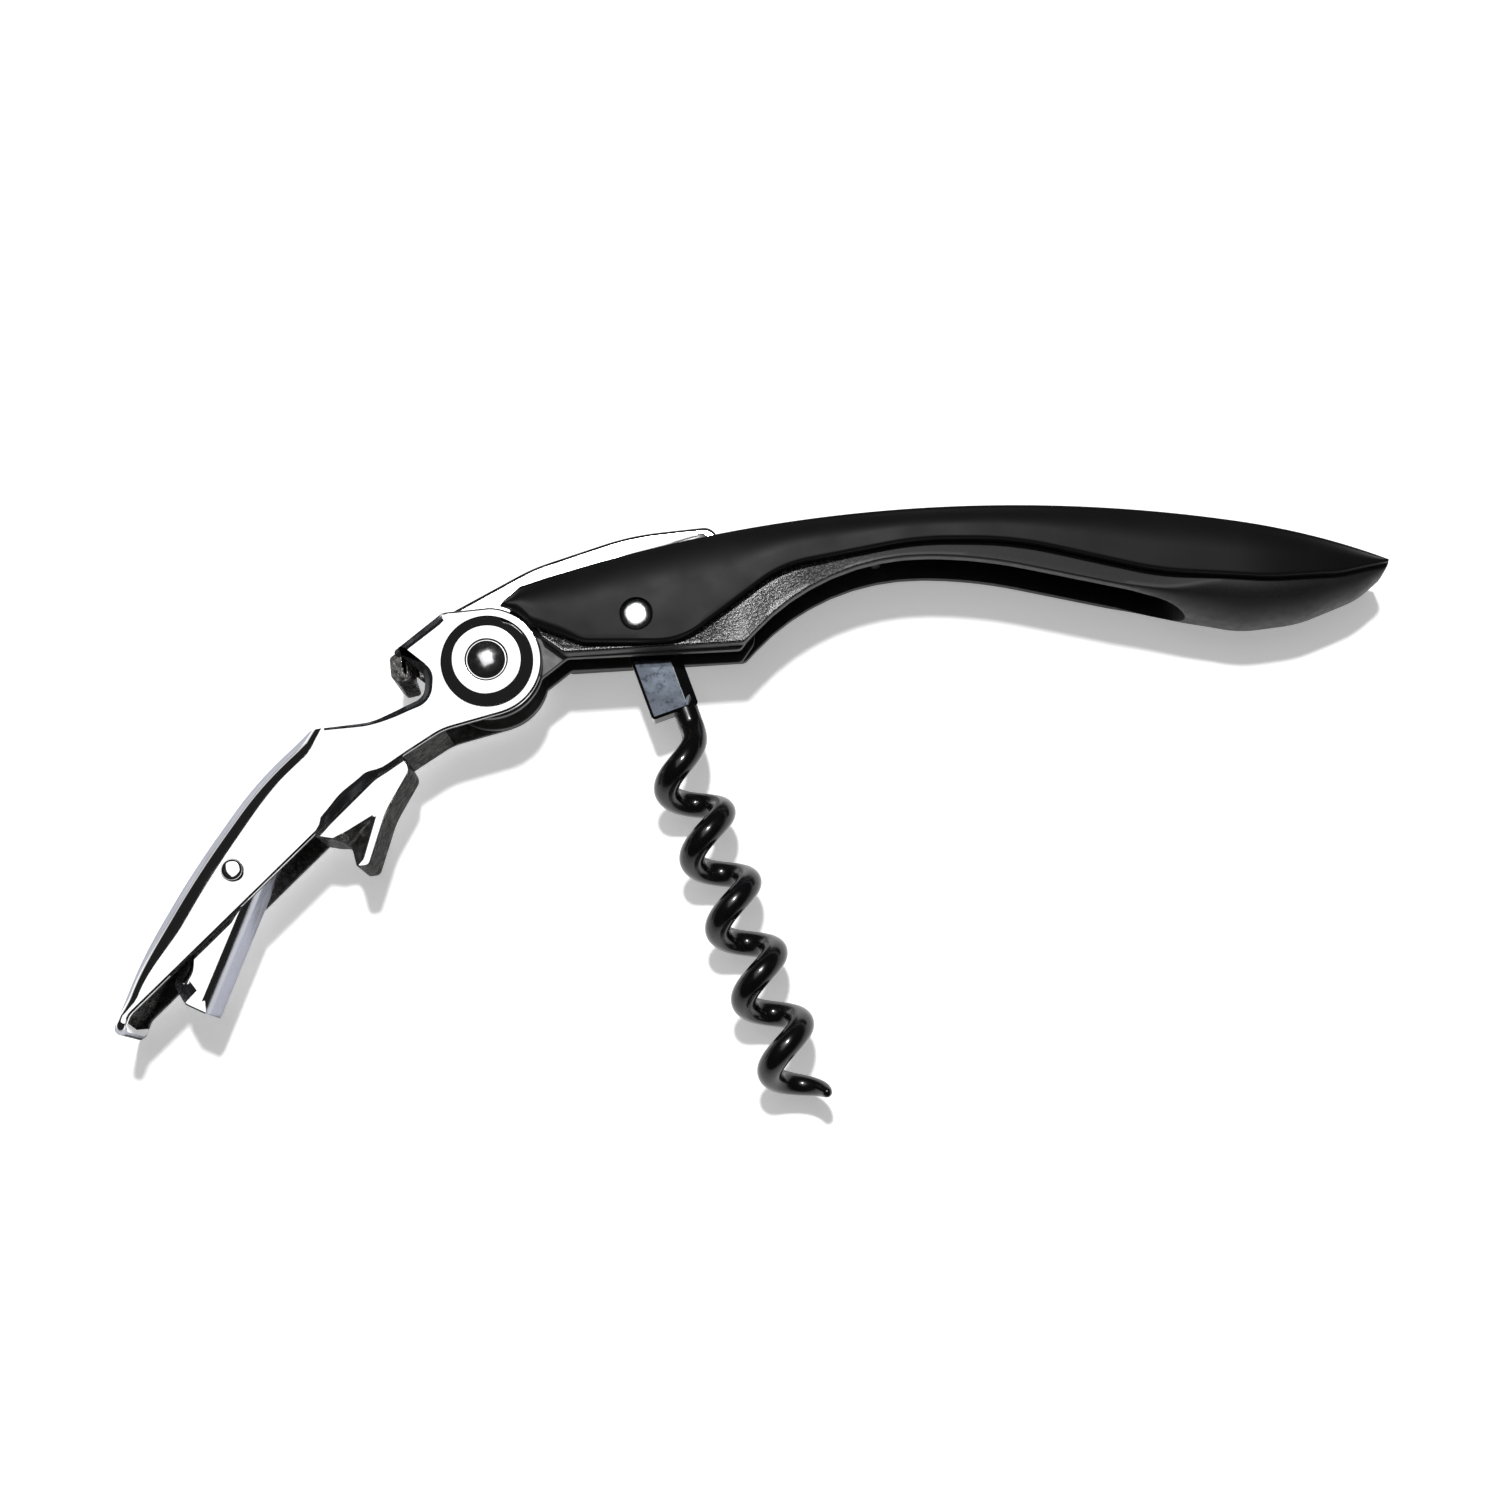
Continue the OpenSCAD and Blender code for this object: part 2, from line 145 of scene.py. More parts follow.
WELD, SLIVER = 2e-6, 1e-7  # metres
MITRE_LIMIT = 0.55  # least cosine used where a sharp corner moves inward
FLAT_WEIGHT = 80


class Build:
    """Points and faces of one piece, in millimetres."""

    def __init__(self, turn=0.0, at=(0.0, 0.0)):
        self.points, self.faces, self.marks = [], [], []
        self.turn, self.at = math.radians(turn), at

    def add(self, x, y, z):
        self.points.append((x, y, z))
        return len(self.points) - 1

    def face(self, corners, mark=0):
        corners = [c for i, c in enumerate(corners) if c != corners[i - 1]]
        if len(corners) > 2:
            self.faces.append(corners)
            self.marks.append(mark)

    def skin(self, rings, mark=0):
        """Quads between neighbouring rings of equal length."""
        for r0, r1 in zip(rings, rings[1:]):
            n = len(r0)
            for k in range(n):
                j = (k + 1) % n
                self.face([r0[k], r0[j], r1[j], r1[k]], mark)

    def finish(self, name, materials, smooth=35):
        """The piece as a mesh object, smooth up to that many degrees."""
        c, s = math.cos(self.turn), math.sin(self.turn)
        ax, ay = self.at
        where = [row(ax + x * c - y * s, ay + x * s + y * c, z) for x, y, z in self.points]
        mesh = bpy.data.meshes.new(name)
        mesh.from_pydata(where, [], self.faces)
        for material in materials:
            mesh.materials.append(material)
        mesh.polygons.foreach_set("material_index", self.marks)
        work = bmesh.new()
        work.from_mesh(mesh)
        bmesh.ops.remove_doubles(work, verts=work.verts, dist=WELD)
        bmesh.ops.dissolve_degenerate(work, edges=work.edges, dist=SLIVER)
        bmesh.ops.recalc_face_normals(work, faces=work.faces)
        work.to_mesh(mesh)
        work.free()
        piece = bpy.data.objects.new(name, mesh)
        bpy.context.scene.collection.objects.link(piece)
        shade(piece, smooth)
        return piece


def shade(piece, degrees, flats=True):
    """Smooth shading, sharp at hard corners and even on broad flat faces."""
    mesh = piece.data
    mesh.polygons.foreach_set("use_smooth", [True] * len(mesh.polygons))
    mesh.set_sharp_from_angle(angle=math.radians(degrees))
    if not flats:
        mesh.update()
        return
    even = piece.modifiers.new("even", "WEIGHTED_NORMAL")
    even.weight = FLAT_WEIGHT
    even.keep_sharp = True
    applied(piece)


def applied(piece):
    """Bakes the piece's modifiers into its mesh."""
    depsgraph = bpy.context.evaluated_depsgraph_get()
    mesh = bpy.data.meshes.new_from_object(piece.evaluated_get(depsgraph))
    piece.modifiers.clear()
    piece.data = mesh
    return piece


def soften(piece, width, angle):
    """Rounds every edge that bends by more than the angle."""
    edge = piece.modifiers.new("edge", "BEVEL")
    edge.width = width * MM
    edge.segments = 2
    edge.limit_method = "ANGLE"
    edge.angle_limit = math.radians(angle)
    edge.use_clamp_overlap = True
    return applied(piece)


def cut(piece, *tools):
    """Takes the tools away from the piece."""
    for tool in tools:
        minus = piece.modifiers.new("cut", "BOOLEAN")
        minus.operation = "DIFFERENCE"
        minus.solver = "EXACT"
        minus.object = tool
        applied(piece)
        bpy.data.objects.remove(tool)
    return piece


def tool(outline, z0, z1, at=(0.0, 0.0), plan=False):
    """A plain prism for cutting; plan draws the outline as x and z, and z0, z1 as y."""
    work = Build(at=at)

    def ring(level):
        if plan:
            return [work.add(x, level, z) for x, z in outline]
        return [work.add(x, y, level) for x, y in outline]

    low, high = ring(z0), ring(z1)
    work.skin([low, high])
    work.face(low[::-1])
    work.face(high)
    return work.finish("tool", [], smooth=20)


def inward(outline, widths):
    """Each point of the outline moved into it by its own width."""
    n = len(outline)
    area = sum(outline[i - 1][0] * outline[i][1] - outline[i][0] * outline[i - 1][1] for i in range(n))
    side = 1 if area > 0 else -1
    out = []
    for i, (x, y) in enumerate(outline):
        (xa, ya), (xb, yb) = outline[i - 1], outline[(i + 1) % n]
        ua, ub = Vector((x - xa, y - ya)), Vector((xb - x, yb - y))
        ua.normalize()
        ub.normalize()
        na, nb = Vector((-ua.y, ua.x)), Vector((-ub.y, ub.x))
        mean = (na + nb).normalized()
        reach = widths[i] / max(mean.dot(na), MITRE_LIMIT)
        out.append((x + side * mean.x * reach, y + side * mean.y * reach))
    return out


def between(p, q, t):
    return q[0] + (p[0] - q[0]) * t, q[1] + (p[1] - q[1]) * t


ROUND_STEPS = 5
DARK_SLOPE = 0.55  # a rim this steep reflects the dark part of the room


def chamfer(width):
    """A flat rim of that width that looks black on bright metal."""
    return width, width * DARK_SLOPE, True


def is_facet(size):
    """Rim sizes are one number, (width, height), or (width, height, True) for a flat chamfer."""
    return isinstance(size, tuple) and len(size) == 3


def plate(work, outline, z0, z1, top=0.15, low=0.15, targets=None, hollow=None, side_mark=0):
    """A flat piece between two heights, with rounded or hollow-ground rims.

    top and low are rim sizes, one number or one for each point. targets moves the
    inner line of the top rim, and hollow marks points whose rim is ground, not rounded.
    side_mark marks all but the two broad faces and the step beside the upper one.
    """
    n = len(outline)
    tops = top if isinstance(top, list) else [top] * n
    lows = low if isinstance(low, list) else [low] * n
    rings = []
    for z, sizes, sign in ((z1, tops, 1), (z0, lows, -1)):
        inner = inward(outline, [s[0] if isinstance(s, tuple) else s for s in sizes])
        if targets and (sign > 0 or targets.get("both")):
            for i, q in targets["at"].items():
                inner[i] = q
        own = []
        for k in range(ROUND_STEPS + 1):
            a = math.pi / 2 * k / ROUND_STEPS
            ring = []
            for i, p in enumerate(outline):
                height = sizes[i][1] if isinstance(sizes[i], tuple) else sizes[i]
                if is_facet(sizes[i]):
                    x, y = between(p, inner[i], k / ROUND_STEPS)
                    drop = height * k / ROUND_STEPS
                elif hollow and hollow[i]:
                    t = k / ROUND_STEPS
                    x, y = between(p, inner[i], t)
                    drop = height * math.sin(a) ** 0.9
                else:
                    x, y = between(p, inner[i], math.sin(a))
                    drop = height * (1 - math.cos(a))
                ring.append(work.add(x, y, z - sign * drop))
            own.append(ring)
        rings.append(own)
    upper, lower = rings
    work.face(upper[0])
    work.face(lower[0][::-1])
    work.skin(upper[:2])
    work.skin(upper[1:], mark=side_mark)
    work.skin([upper[-1], lower[-1]], mark=side_mark)
    work.skin(lower[::-1], mark=side_mark)


BAND_RINGS = 3  # bands of the bend that keep the plate's own material
BARE_EDGE, LEAST_BEND = 0.12, 0.3  # inner rounding without a web, and the least one with it
TIP_TOP, TIP_WALL, TIP_DEEP = 0.62, 0.3, 0.5  # how far each inner line closes in on the tip
TIP_END = 1.3  # the web counts as hollow from this far past the tip's from_x


def channel(
    work, outline, z1, inner_z, walls, rim, bend, web, outside=0, inside_mark=0, start=None, tip=None
):
    """Two mirrored side plates joined by a bent web along part of the outline.

    rim and bend give each point's outer rounding as (width, height), and web says
    where the plates are joined. start is the point where the web begins and the way
    its sheared end runs. tip is (from_x, x, y): beyond from_x every inner line closes
    in on that point. outside and inside_mark mark the web's outer face and the hollow,
    and the end of the tip counts as hollow.
    """
    n = len(outline)

    def closing(ring, share):
        if not tip:
            return ring
        return [between(tip[1:], p, share) if p[0] > tip[0] else q for p, q in zip(outline, ring)]

    for mirror in (1, -1):
        outer_size = [bend[i] if web[i] else rim[i] for i in range(n)]
        inner = closing(inward(outline, [s[0] for s in outer_size]), TIP_TOP)
        if start:
            first, way = start
            inner[first] = (outline[first][0] + way[0], outline[first][1] + way[1])
        rings = []
        for k in range(ROUND_STEPS + 3):
            t = k / (ROUND_STEPS + 2)
            a = math.pi / 2 * t
            ring = []
            for i, p in enumerate(outline):
                out, drop = (t, t) if is_facet(outer_size[i]) else (math.sin(a), 1 - math.cos(a))
                ring.append(work.add(*between(p, inner[i], out), mirror * (z1 - outer_size[i][1] * drop)))
            rings.append(ring)
        middle = (z1 + inner_z) / 2
        wall = [walls[i] if web[i] else 0 for i in range(n)]
        inside = closing(inward(outline, wall), TIP_WALL)
        outer_mid = [work.add(*p, 0 if web[i] else mirror * middle) for i, p in enumerate(outline)]
        inner_mid = [work.add(*p, 0 if web[i] else mirror * middle) for i, p in enumerate(inside)]
        small = [max(bend[i][0] - walls[i], LEAST_BEND) if web[i] else BARE_EDGE for i in range(n)]
        deep = closing(inward(outline, [wall[i] + small[i] for i in range(n)]), TIP_DEEP)
        back = []
        for k in range(ROUND_STEPS + 1):
            a = math.pi / 2 * (1 - k / ROUND_STEPS)
            ring = []
            for i in range(n):
                rise = small[i] * (1 - math.cos(a)) * (-1 if web[i] else 1)
                ring.append(work.add(*between(inside[i], deep[i], math.sin(a)), mirror * (inner_z + rise)))
            back.append(ring)
        work.face(rings[0])
        work.skin(rings[:BAND_RINGS + 1])
        work.skin(rings[BAND_RINGS:], mark=outside)
        for i in range(n):
            j = (i + 1) % n
            joined = web[i] and web[j]
            mark = outside if joined else 0
            if joined and tip and outline[i][0] > tip[0] + TIP_END and outline[j][1] > tip[2]:
                mark = inside_mark
            work.face([rings[-1][i], rings[-1][j], outer_mid[j], outer_mid[i]], mark)
            if not joined:
                work.face([outer_mid[i], outer_mid[j], inner_mid[j], inner_mid[i]])
        work.skin([inner_mid] + back, mark=inside_mark)
        work.face(back[-1], inside_mark)


def lathe(name, line, at, material, body, nodes, slot, sides=72):
    """A turned piece; line is (radius, height) from the middle outwards."""
    work = Build(at=at)
    rings = []
    for r, z in line:
        if r == 0:
            rings.append([work.add(0, 0, z)] * sides)
        else:
            rings.append([work.add(*polar(r, 360 * k / sides), z) for k in range(sides)])
    work.skin(rings)
    piece = work.finish(name, [material])
    return place(piece, body, slot, *nodes)


def place(piece, body, slot, *nodes):
    """Gives the piece its body and hides the CAD nodes it stands for; the slot is not used."""
    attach(piece, body)
    if nodes:
        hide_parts(*nodes)
    return piece


# ---- Materials ----


class Shader:
    """A Principled surface with procedural detail in the object's own space."""

    def __init__(self, name, color, metallic=0.0, roughness=0.4, specular=0.5, coat=0.0):
        self.name = name
        self.material = bpy.data.materials.new("look_" + name)
        self.material.use_nodes = True
        self.nodes = self.material.node_tree.nodes
        self.links = self.material.node_tree.links
        self.main = self.nodes["Principled BSDF"]
        self.main.inputs["Base Color"].default_value = (*color, 1)
        self.main.inputs["Metallic"].default_value = metallic
        self.main.inputs["Roughness"].default_value = roughness
        self.main.inputs["Specular IOR Level"].default_value = specular
        self.main.inputs["Coat Weight"].default_value = coat
        self.main.inputs["Coat Roughness"].default_value = 0.08
        self.color = color
        self.where = self.nodes.new("ShaderNodeTexCoord").outputs["Object"]
        self.normal = None

    def stretched(self, scale, turn=0.0):
        node = self.nodes.new("ShaderNodeMapping")
        node.inputs["Scale"].default_value = scale
        node.inputs["Rotation"].default_value = (0, 0, math.radians(turn))
        self.links.new(self.where, node.inputs["Vector"])
        return node.outputs["Vector"]

    def noise(self, scale, detail=3.0, rough=0.5, where=None):
        node = self.nodes.new("ShaderNodeTexNoise")
        node.inputs["Scale"].default_value = scale
        node.inputs["Detail"].default_value = detail
        node.inputs["Roughness"].default_value = rough
        self.links.new(where or self.where, node.inputs["Vector"])
        return node.outputs["Fac"]

    def along(self, start, stop):
        """0 before start and 1 past stop, in mm from the main pivot toward the tail."""
        node = self.nodes.new("ShaderNodeSeparateXYZ")
        self.links.new(self.where, node.inputs["Vector"])
        return self.spread(node.outputs["X"], 0, 1, row(start, 0, 0).x, row(stop, 0, 0).x)

    def spread(self, value, low, high, a=0.3, b=0.7):
        node = self.nodes.new("ShaderNodeMapRange")
        for key, number in (("From Min", a), ("From Max", b), ("To Min", low), ("To Max", high)):
            node.inputs[key].default_value = number
        self.links.new(value, node.inputs["Value"])
        return node.outputs["Result"]

    def product(self, a, b):
        node = self.nodes.new("ShaderNodeMath")
        node.operation = "MULTIPLY"
        self.links.new(a, node.inputs[0])
        self.links.new(b, node.inputs[1])
        return node.outputs["Value"]

    def vary_roughness(self, value, low, high, a=0.3, b=0.7):
        self.links.new(self.spread(value, low, high, a, b), self.main.inputs["Roughness"])
        return self

    def vary_color(self, value, other, a=0.3, b=0.7):
        node = self.nodes.new("ShaderNodeMix")
        node.data_type = "RGBA"
        node.inputs["A"].default_value = (*self.color, 1)
        node.inputs["B"].default_value = (*other, 1)
        self.links.new(self.spread(value, 0, 1, a, b), node.inputs["Factor"])
        self.links.new(node.outputs["Result"], self.main.inputs["Base Color"])
        return self

    def bump(self, value, height_mm, strength=1.0, fade=None):
        node = self.nodes.new("ShaderNodeBump")
        node.inputs["Strength"].default_value = strength
        if fade:
            self.links.new(self.spread(fade, strength, 0.04, 0, 1), node.inputs["Strength"])
        node.inputs["Distance"].default_value = height_mm * MM
        self.links.new(value, node.inputs["Height"])
        if self.normal:
            self.links.new(self.normal, node.inputs["Normal"])
        self.normal = node.outputs["Normal"]
        self.links.new(self.normal, self.main.inputs["Normal"])
        return self


def make_materials():
    found = {}

    def keep(shader):
        found[shader.name] = shader.material

    s = Shader("chrome", (0.93, 0.93, 0.94), metallic=1, roughness=0.07)
    s.vary_roughness(s.noise(260, 4), 0.05, 0.09)
    s.bump(s.noise(420, 2), 0.004, 0.5)
    keep(s)
    # Rough cast chrome (roughness and bump). Its dark base colour and low edge tint are painted shade on
    # the same metal, for the lever's hollows, the side walls of its parts and the cap lifter.
    s = Shader("cast_chrome_painted_shade", (0.22, 0.215, 0.21), metallic=1, roughness=0.16)
    s.main.inputs["Specular Tint"].default_value = (0.12, 0.12, 0.12, 1)
    s.vary_roughness(s.noise(900, 4), 0.08, 0.26)
    s.vary_color(s.noise(1300, 3), (0.06, 0.06, 0.06))
    s.bump(s.noise(2100, 4, 0.7), 0.3, 1.0)
    keep(s)
    # Grey-blue copy of the chrome for the webs and the outer bends of the rims. Its dimmer, tinted base
    # colour is a painted reflection; the stretched streaks in roughness and bump are surface texture.
    s = Shader("web_chrome_painted_reflection", (0.46, 0.47, 0.51), metallic=1, roughness=0.2)
    s.main.inputs["Specular Tint"].default_value = (0.55, 0.56, 0.62, 1)
    s.vary_roughness(s.noise(500, 3, where=s.stretched((1, 0.12, 1), 20)), 0.12, 0.36)
    s.bump(s.noise(700, 3, where=s.stretched((1, 0.15, 1), 20)), 0.03, 0.6)
    keep(s)
    s = Shader("pivot_steel", (0.62, 0.62, 0.63), metallic=1, roughness=0.16)
    s.vary_roughness(s.noise(1400, 3), 0.12, 0.2)
    s.bump(s.noise(2600, 3), 0.01, 0.5)
    keep(s)
    s = Shader("rivet_chrome", (0.85, 0.85, 0.86), metallic=1, roughness=0.14)
    s.vary_roughness(s.noise(1800, 3), 0.1, 0.18)
    s.bump(s.noise(4200, 3, 0.65), 0.025, 0.8)
    keep(s)
    s = Shader("scale_black", (0.005, 0.005, 0.0052), roughness=0.42, specular=0.07)
    s.vary_roughness(s.noise(180, 4), 0.38, 0.46)
    s.bump(s.noise(3200, 2), 0.006, 0.5)
    keep(s)
    s = Shader("black_moulding", (0.006, 0.006, 0.0065), roughness=0.32, specular=0.28)
    s.vary_roughness(s.along(36, 52), 0.2, 0.5, 0, 1)
    # Grey specks, strongest from about 30 to 36 mm along the handle and fading out by 20 and 50 mm, are
    # painted sparkle where light grazes the grained side. The bump itself is surface texture.
    sparkle_specks = s.spread(s.noise(3000, 2, 0.8), 0, 1, 0.5, 0.6)
    sparkle_zone = s.product(s.spread(s.along(20, 30), 0.12, 1, 0, 1), s.spread(s.along(36, 50), 1, 0.03, 0, 1))
    s.vary_color(s.product(sparkle_specks, sparkle_zone), (0.12, 0.12, 0.12), 0, 1)
    s.bump(s.noise(3000, 2, 0.8), 0.05, 1.0, fade=s.along(40, 54))
    keep(s)
    # Smooth moulding for every face off the grained sides. Its colour is lighter up to about 50 mm from
    # the pivot and darkens by 72 mm: painted bounce light in the slot's hollow.
    s = Shader("frame_smooth_painted_bounce", (0.03, 0.03, 0.029), roughness=0.5, specular=0.3)
    s.vary_roughness(s.noise(900, 3), 0.44, 0.56)
    s.vary_color(s.along(50, 72), (0.008, 0.008, 0.008), 0, 1)
    s.bump(s.noise(3800, 2), 0.01, 0.5)
    keep(s)
    s = Shader("liner_black", (0.03, 0.03, 0.031), roughness=0.45, specular=0.5)
    s.vary_roughness(s.noise(700, 4), 0.44, 0.56)
    s.bump(s.noise(3000, 2), 0.008, 0.5)
    keep(s)
    s = Shader("worm_black", (0.003, 0.003, 0.0035), roughness=0.2, specular=0.35, coat=0.25)
    s.vary_roughness(s.noise(650, 4), 0.14, 0.28)
    s.bump(s.noise(1600, 3), 0.012, 0.5)
    keep(s)
    # The shank's flat faces are the same black-coated wire. This metallic grey-blue is a painted
    # reflection of the coating; the dark specks vary its tone.
    s = Shader("shank_painted_reflection", (0.1, 0.115, 0.14), metallic=1, roughness=0.16)
    s.vary_roughness(s.noise(500, 4), 0.05, 0.09)
    s.vary_color(s.noise(1500, 4, 0.7), (0.04, 0.046, 0.056), 0.5, 0.68)
    s.bump(s.noise(900, 3), 0.003, 0.5)
    keep(s)
    s = Shader("blade_steel", (0.9, 0.9, 0.91), metallic=1, roughness=0.12)
    s.vary_roughness(s.noise(900, 3, where=s.stretched((0.06, 1, 1), -14)), 0.08, 0.18)
    s.bump(s.noise(2400, 2, where=s.stretched((0.05, 1, 1), -14)), 0.006, 0.5)
    keep(s)
    s = Shader("washer_brass", (0.6, 0.46, 0.2), metallic=1, roughness=0.34)
    s.vary_roughness(s.noise(1200, 3), 0.26, 0.42)
    s.vary_color(s.noise(400, 3), (0.42, 0.32, 0.14))
    keep(s)
    s = Shader("spring_steel", (0.42, 0.42, 0.44), metallic=1, roughness=0.32)
    s.vary_roughness(s.noise(1100, 3, where=s.stretched((0.1, 1, 1))), 0.24, 0.42)
    keep(s)
    return found


MAT = make_materials()

# ---- Handle ----

BACK_R, BACK_X, BACK_RISE = 189.0, 66.0, 20.0
FRAME_Z, SCALE_Z, SEAM_Z = 6.5, 8.0, 6.52
TAIL, TAPER_FROM, TAPER = 113.9, 94.0, 3.6
SLOT_FROM, SLOT_TO, SLOT_HALF, ROOF = 30.2, 88.3, 4.9, 2.0
POCKET_Z = 4.45
SCALE_FROM = 1.6
START_TO, START_SLOPE = 4.4, 0.92  # the back's slanted start
FRAME_START, SCALE_START = 7.2, 7.15  # its height at SCALE_FROM, on the frame and the scales
SEAM_TO = 113
HEAD_RECESS_R, HEAD_RECESS_Z, FLAT_AROUND = 2.12, (7.4, 9), 2.3
LINER_Z, LINER_RIM = (3.2, 4.4), 0.16
BLADE_SLOT_HALF, FRAME_RIM = 1.05, 0.16
GRAIN_Z, GRAIN_FACING = 5.2, 0.8  # frame faces this far out and this square to Z have the grained bump and the painted sparkle specks
KEEL_FROM, KEEL_TO = 79.0, 93.0
WORM_PIN = drawn("worm_pivot")

FRAME_LOW = [
    (2.4, 6.0, 0), (9.6, 0.85, 0.9), (32.2, 2.25, 0.8), (42.2, 13.3, 29), (61.5, 13.3, 60),
    (82, 9.0, 30), (89, 6.4, 25), (95.5, 5.1, 14), (103, 6.1, 14), (110.5, 9.2, 10),
    (113.2, 11.6, 1.2), (114.1, 13.5, 0),
]
SCALE_LOW = [
    (1.5, 5.5, 0), (6.6, 4.0, 1.5), (12.0, 2.1, 4), (24.2, 2.1, 9), (36.8, 11.8, 14), (54, 15.25, 40),
    (66, 15.25, 45), (84, 11.1, 40), (98, 10.3, 30), (107, 11.2, 12), (113.9, 13.2, 0),
]


def back_y(x, inset=0.0):
    return BACK_RISE - BACK_R + math.sqrt((BACK_R - inset) ** 2 - (x - BACK_X) ** 2)


def half_width(x, full):
    return full - TAPER * (max(x - TAPER_FROM, 0) / (TAIL - TAPER_FROM)) ** 2


def above_lever(read, r):
    """Keeps a lower edge clear of the lever's round end."""
    return lambda x: max(read(x), math.sqrt(r * r - x * x) if x < r else -9)


frame_low = above_lever(reader(rounded(FRAME_LOW, 8, closed=False)), 7.5)
scale_low = above_lever(reader(rounded(SCALE_LOW, 8, closed=False)), 7.0)


def stations(x0, x1, dense):
    """Positions along the handle, closer together where a (from, to, step) says so."""
    out, x = [], x0
    while x < x1 - 0.02:
        out.append(x)
        x += next((step for a, b, step in dense if a <= x < b), 1.0)
    return out + [x1]


def frame_section(x):
    """Half of the handle's section at x, from the keel to the back, as (y, z)."""
    low, high = frame_low(x), back_y(x)
    if x < START_TO:
        high = min(high, FRAME_START + (x - SCALE_FROM) * START_SLOPE)
    wide = half_width(x, FRAME_Z)
    keel = ease((x - KEEL_FROM) / (KEEL_TO - KEEL_FROM))
    deep = max(0.35 + keel * (scale_low(min(x, SEAM_TO)) - low - 0.6), 0.3)
    deep = min(deep, (high - low) * 0.6)
    flat = (wide - 0.35) * (1 - keel) ** 1.5
    line = [(low, 0.0), (low, flat * 0.5)]
    for k in range(11):
        a = math.pi / 2 * k / 10
        line.append((low + deep * (1 - math.cos(a)), flat + (wide - flat) * math.sin(a)))
    crown = min(0.7, (high - low) * 0.2)
    lean = 0.6 * (1 - ease((x - 96) / 10))
    seam = min(max(scale_low(min(x, SEAM_TO)), low + deep + 0.3), high - crown - 0.3)
    share = min(1, (seam - low - deep) / 3)
    for t in (0.25, 0.5, 0.75, 1.0):
        line.append((low + deep + (seam - low - deep) * t, wide - lean * t * share))
    wide -= lean * share
    for k in range(6):
        a = math.pi / 2 * k / 5
        line.append((high - crown * (1 - math.sin(a)), wide - crown * (1 - math.cos(a))))
    line.append((high, 0.0))
    return line


def handle_frame():
    """The black moulding, cut for the worm, the liners and the cutter."""
    work = Build()
    rings = []
    dense = [(0, 8, 0.35), (8, 11.5, 0.3), (30, 40, 0.4), (80, 92, 0.5), (104, 112, 0.5), (112, 114, 0.2)]
    for x in stations(2.47, 113.86, dense):
        half = frame_section(x)
        loop = [(y, z) for y, z in half] + [(y, -z) for y, z in half[-2:0:-1]]
        rings.append([work.add(x, y, z) for y, z in loop])
    work.skin(rings)
    work.face(rings[0])
    work.face(rings[-1][::-1])
    piece = work.finish("handle_frame_moulding", [MAT["black_moulding"], MAT["frame_smooth_painted_bounce"]], 30)
    end = [polar(SLOT_HALF, 90 - 180 * k / 24) for k in range(25)]
    middle = SLOT_TO - SLOT_HALF
    slot = [(SLOT_FROM, -SLOT_HALF), (SLOT_FROM, SLOT_HALF)] + [(middle + x, z) for x, z in end]
    slot_cut = tool(slot, -3, 24, plan=True)
    roof = [(SLOT_FROM - 1, -4), (SLOT_TO + 1, -4)]
    places = [SLOT_TO + 1 - k * (SLOT_TO - SLOT_FROM + 2) / 30 for k in range(31)]
    roof += [(x, back_y(x, ROOF)) for x in places]
    keep = tool(roof, -7, 7)
    both = slot_cut.modifiers.new("roof", "BOOLEAN")
    both.operation = "INTERSECT"
    both.solver = "EXACT"
    both.object = keep
    applied(slot_cut)
    bpy.data.objects.remove(keep)
    pocket = [(-2, -4), (33.8, -4), (33.8, 12.4), (13.8, 11.0), (2.2, 6.8), (-2, 6.8)]
    cut(
        piece,
        slot_cut,
        tool(pocket, -POCKET_Z, POCKET_Z),
        tool([(0, 4), (30, 4), (30, 26), (0, 26)], -BLADE_SLOT_HALF, BLADE_SLOT_HALF),
    )
    soften(piece, FRAME_RIM, 40)
    # broad outer faces take the grained moulding with its painted sparkle; all others take the smooth
    # moulding with its painted bounce light
    for face in piece.data.polygons:
        outside = abs(face.center.z - row(0, 0, 0).z) > GRAIN_Z * MM
        face.material_index = 0 if outside and abs(face.normal.z) > GRAIN_FACING else 1
    shade(piece, 32)
    return place(piece, "handle", "black_moulding", "handle_frame")


def scale_section(x):
    """Half-thickness of the scale across it at x, as (y, z) from its seam and back to it."""
    low, high = scale_low(x), back_y(x, 0.15)
    if x < START_TO:
        high = min(high, SCALE_START + (x - SCALE_FROM) * START_SLOPE)
    seam, face = half_width(x, SEAM_Z), half_width(x, SCALE_Z)
    span = high - low
    lip = min(stepped(x, [(4, 0.95), (9, 0.95), (13, 0.4), (110, 0.4), (113, 0.25)]), span * 0.3)
    shoulder = min(0.60 * span, 5.2)
    drop = min(1.0, (face - seam) * 0.72)
    edge = 0.3
    end = 1.1
    if x < SCALE_FROM + end:
        sink = end - math.sqrt(max(end * end - (end - (x - SCALE_FROM)) ** 2, 0))
        face = max(face - sink, seam + 0.25)
        drop = min(drop, (face - seam) * 0.6)
        lip = min(lip, (face - seam) * 0.8)
    line = [(low, seam), (low, face - lip)]
    for k in range(1, 7):
        a = math.pi / 2 * k / 6
        line.append((low + lip * (1 - math.cos(a)), face - lip * (1 - math.sin(a))))
    top = high - edge
    start = max(top - shoulder, low + lip + 0.05)
    for k in range(1, 9):
        line.append((low + lip + (start - low - lip) * k / 8, face))
    for k in range(1, 13):
        t = k / 12
        line.append((start + (top - start) * t, face - drop * t ** 2.1))
    shelf = face - drop
    for k in range(1, 5):
        a = math.pi / 2 * k / 4
        line.append((top + edge * math.sin(a), shelf - min(edge, shelf - seam - 0.02) * (1 - math.cos(a))))
    line.append((high, seam))
    return line


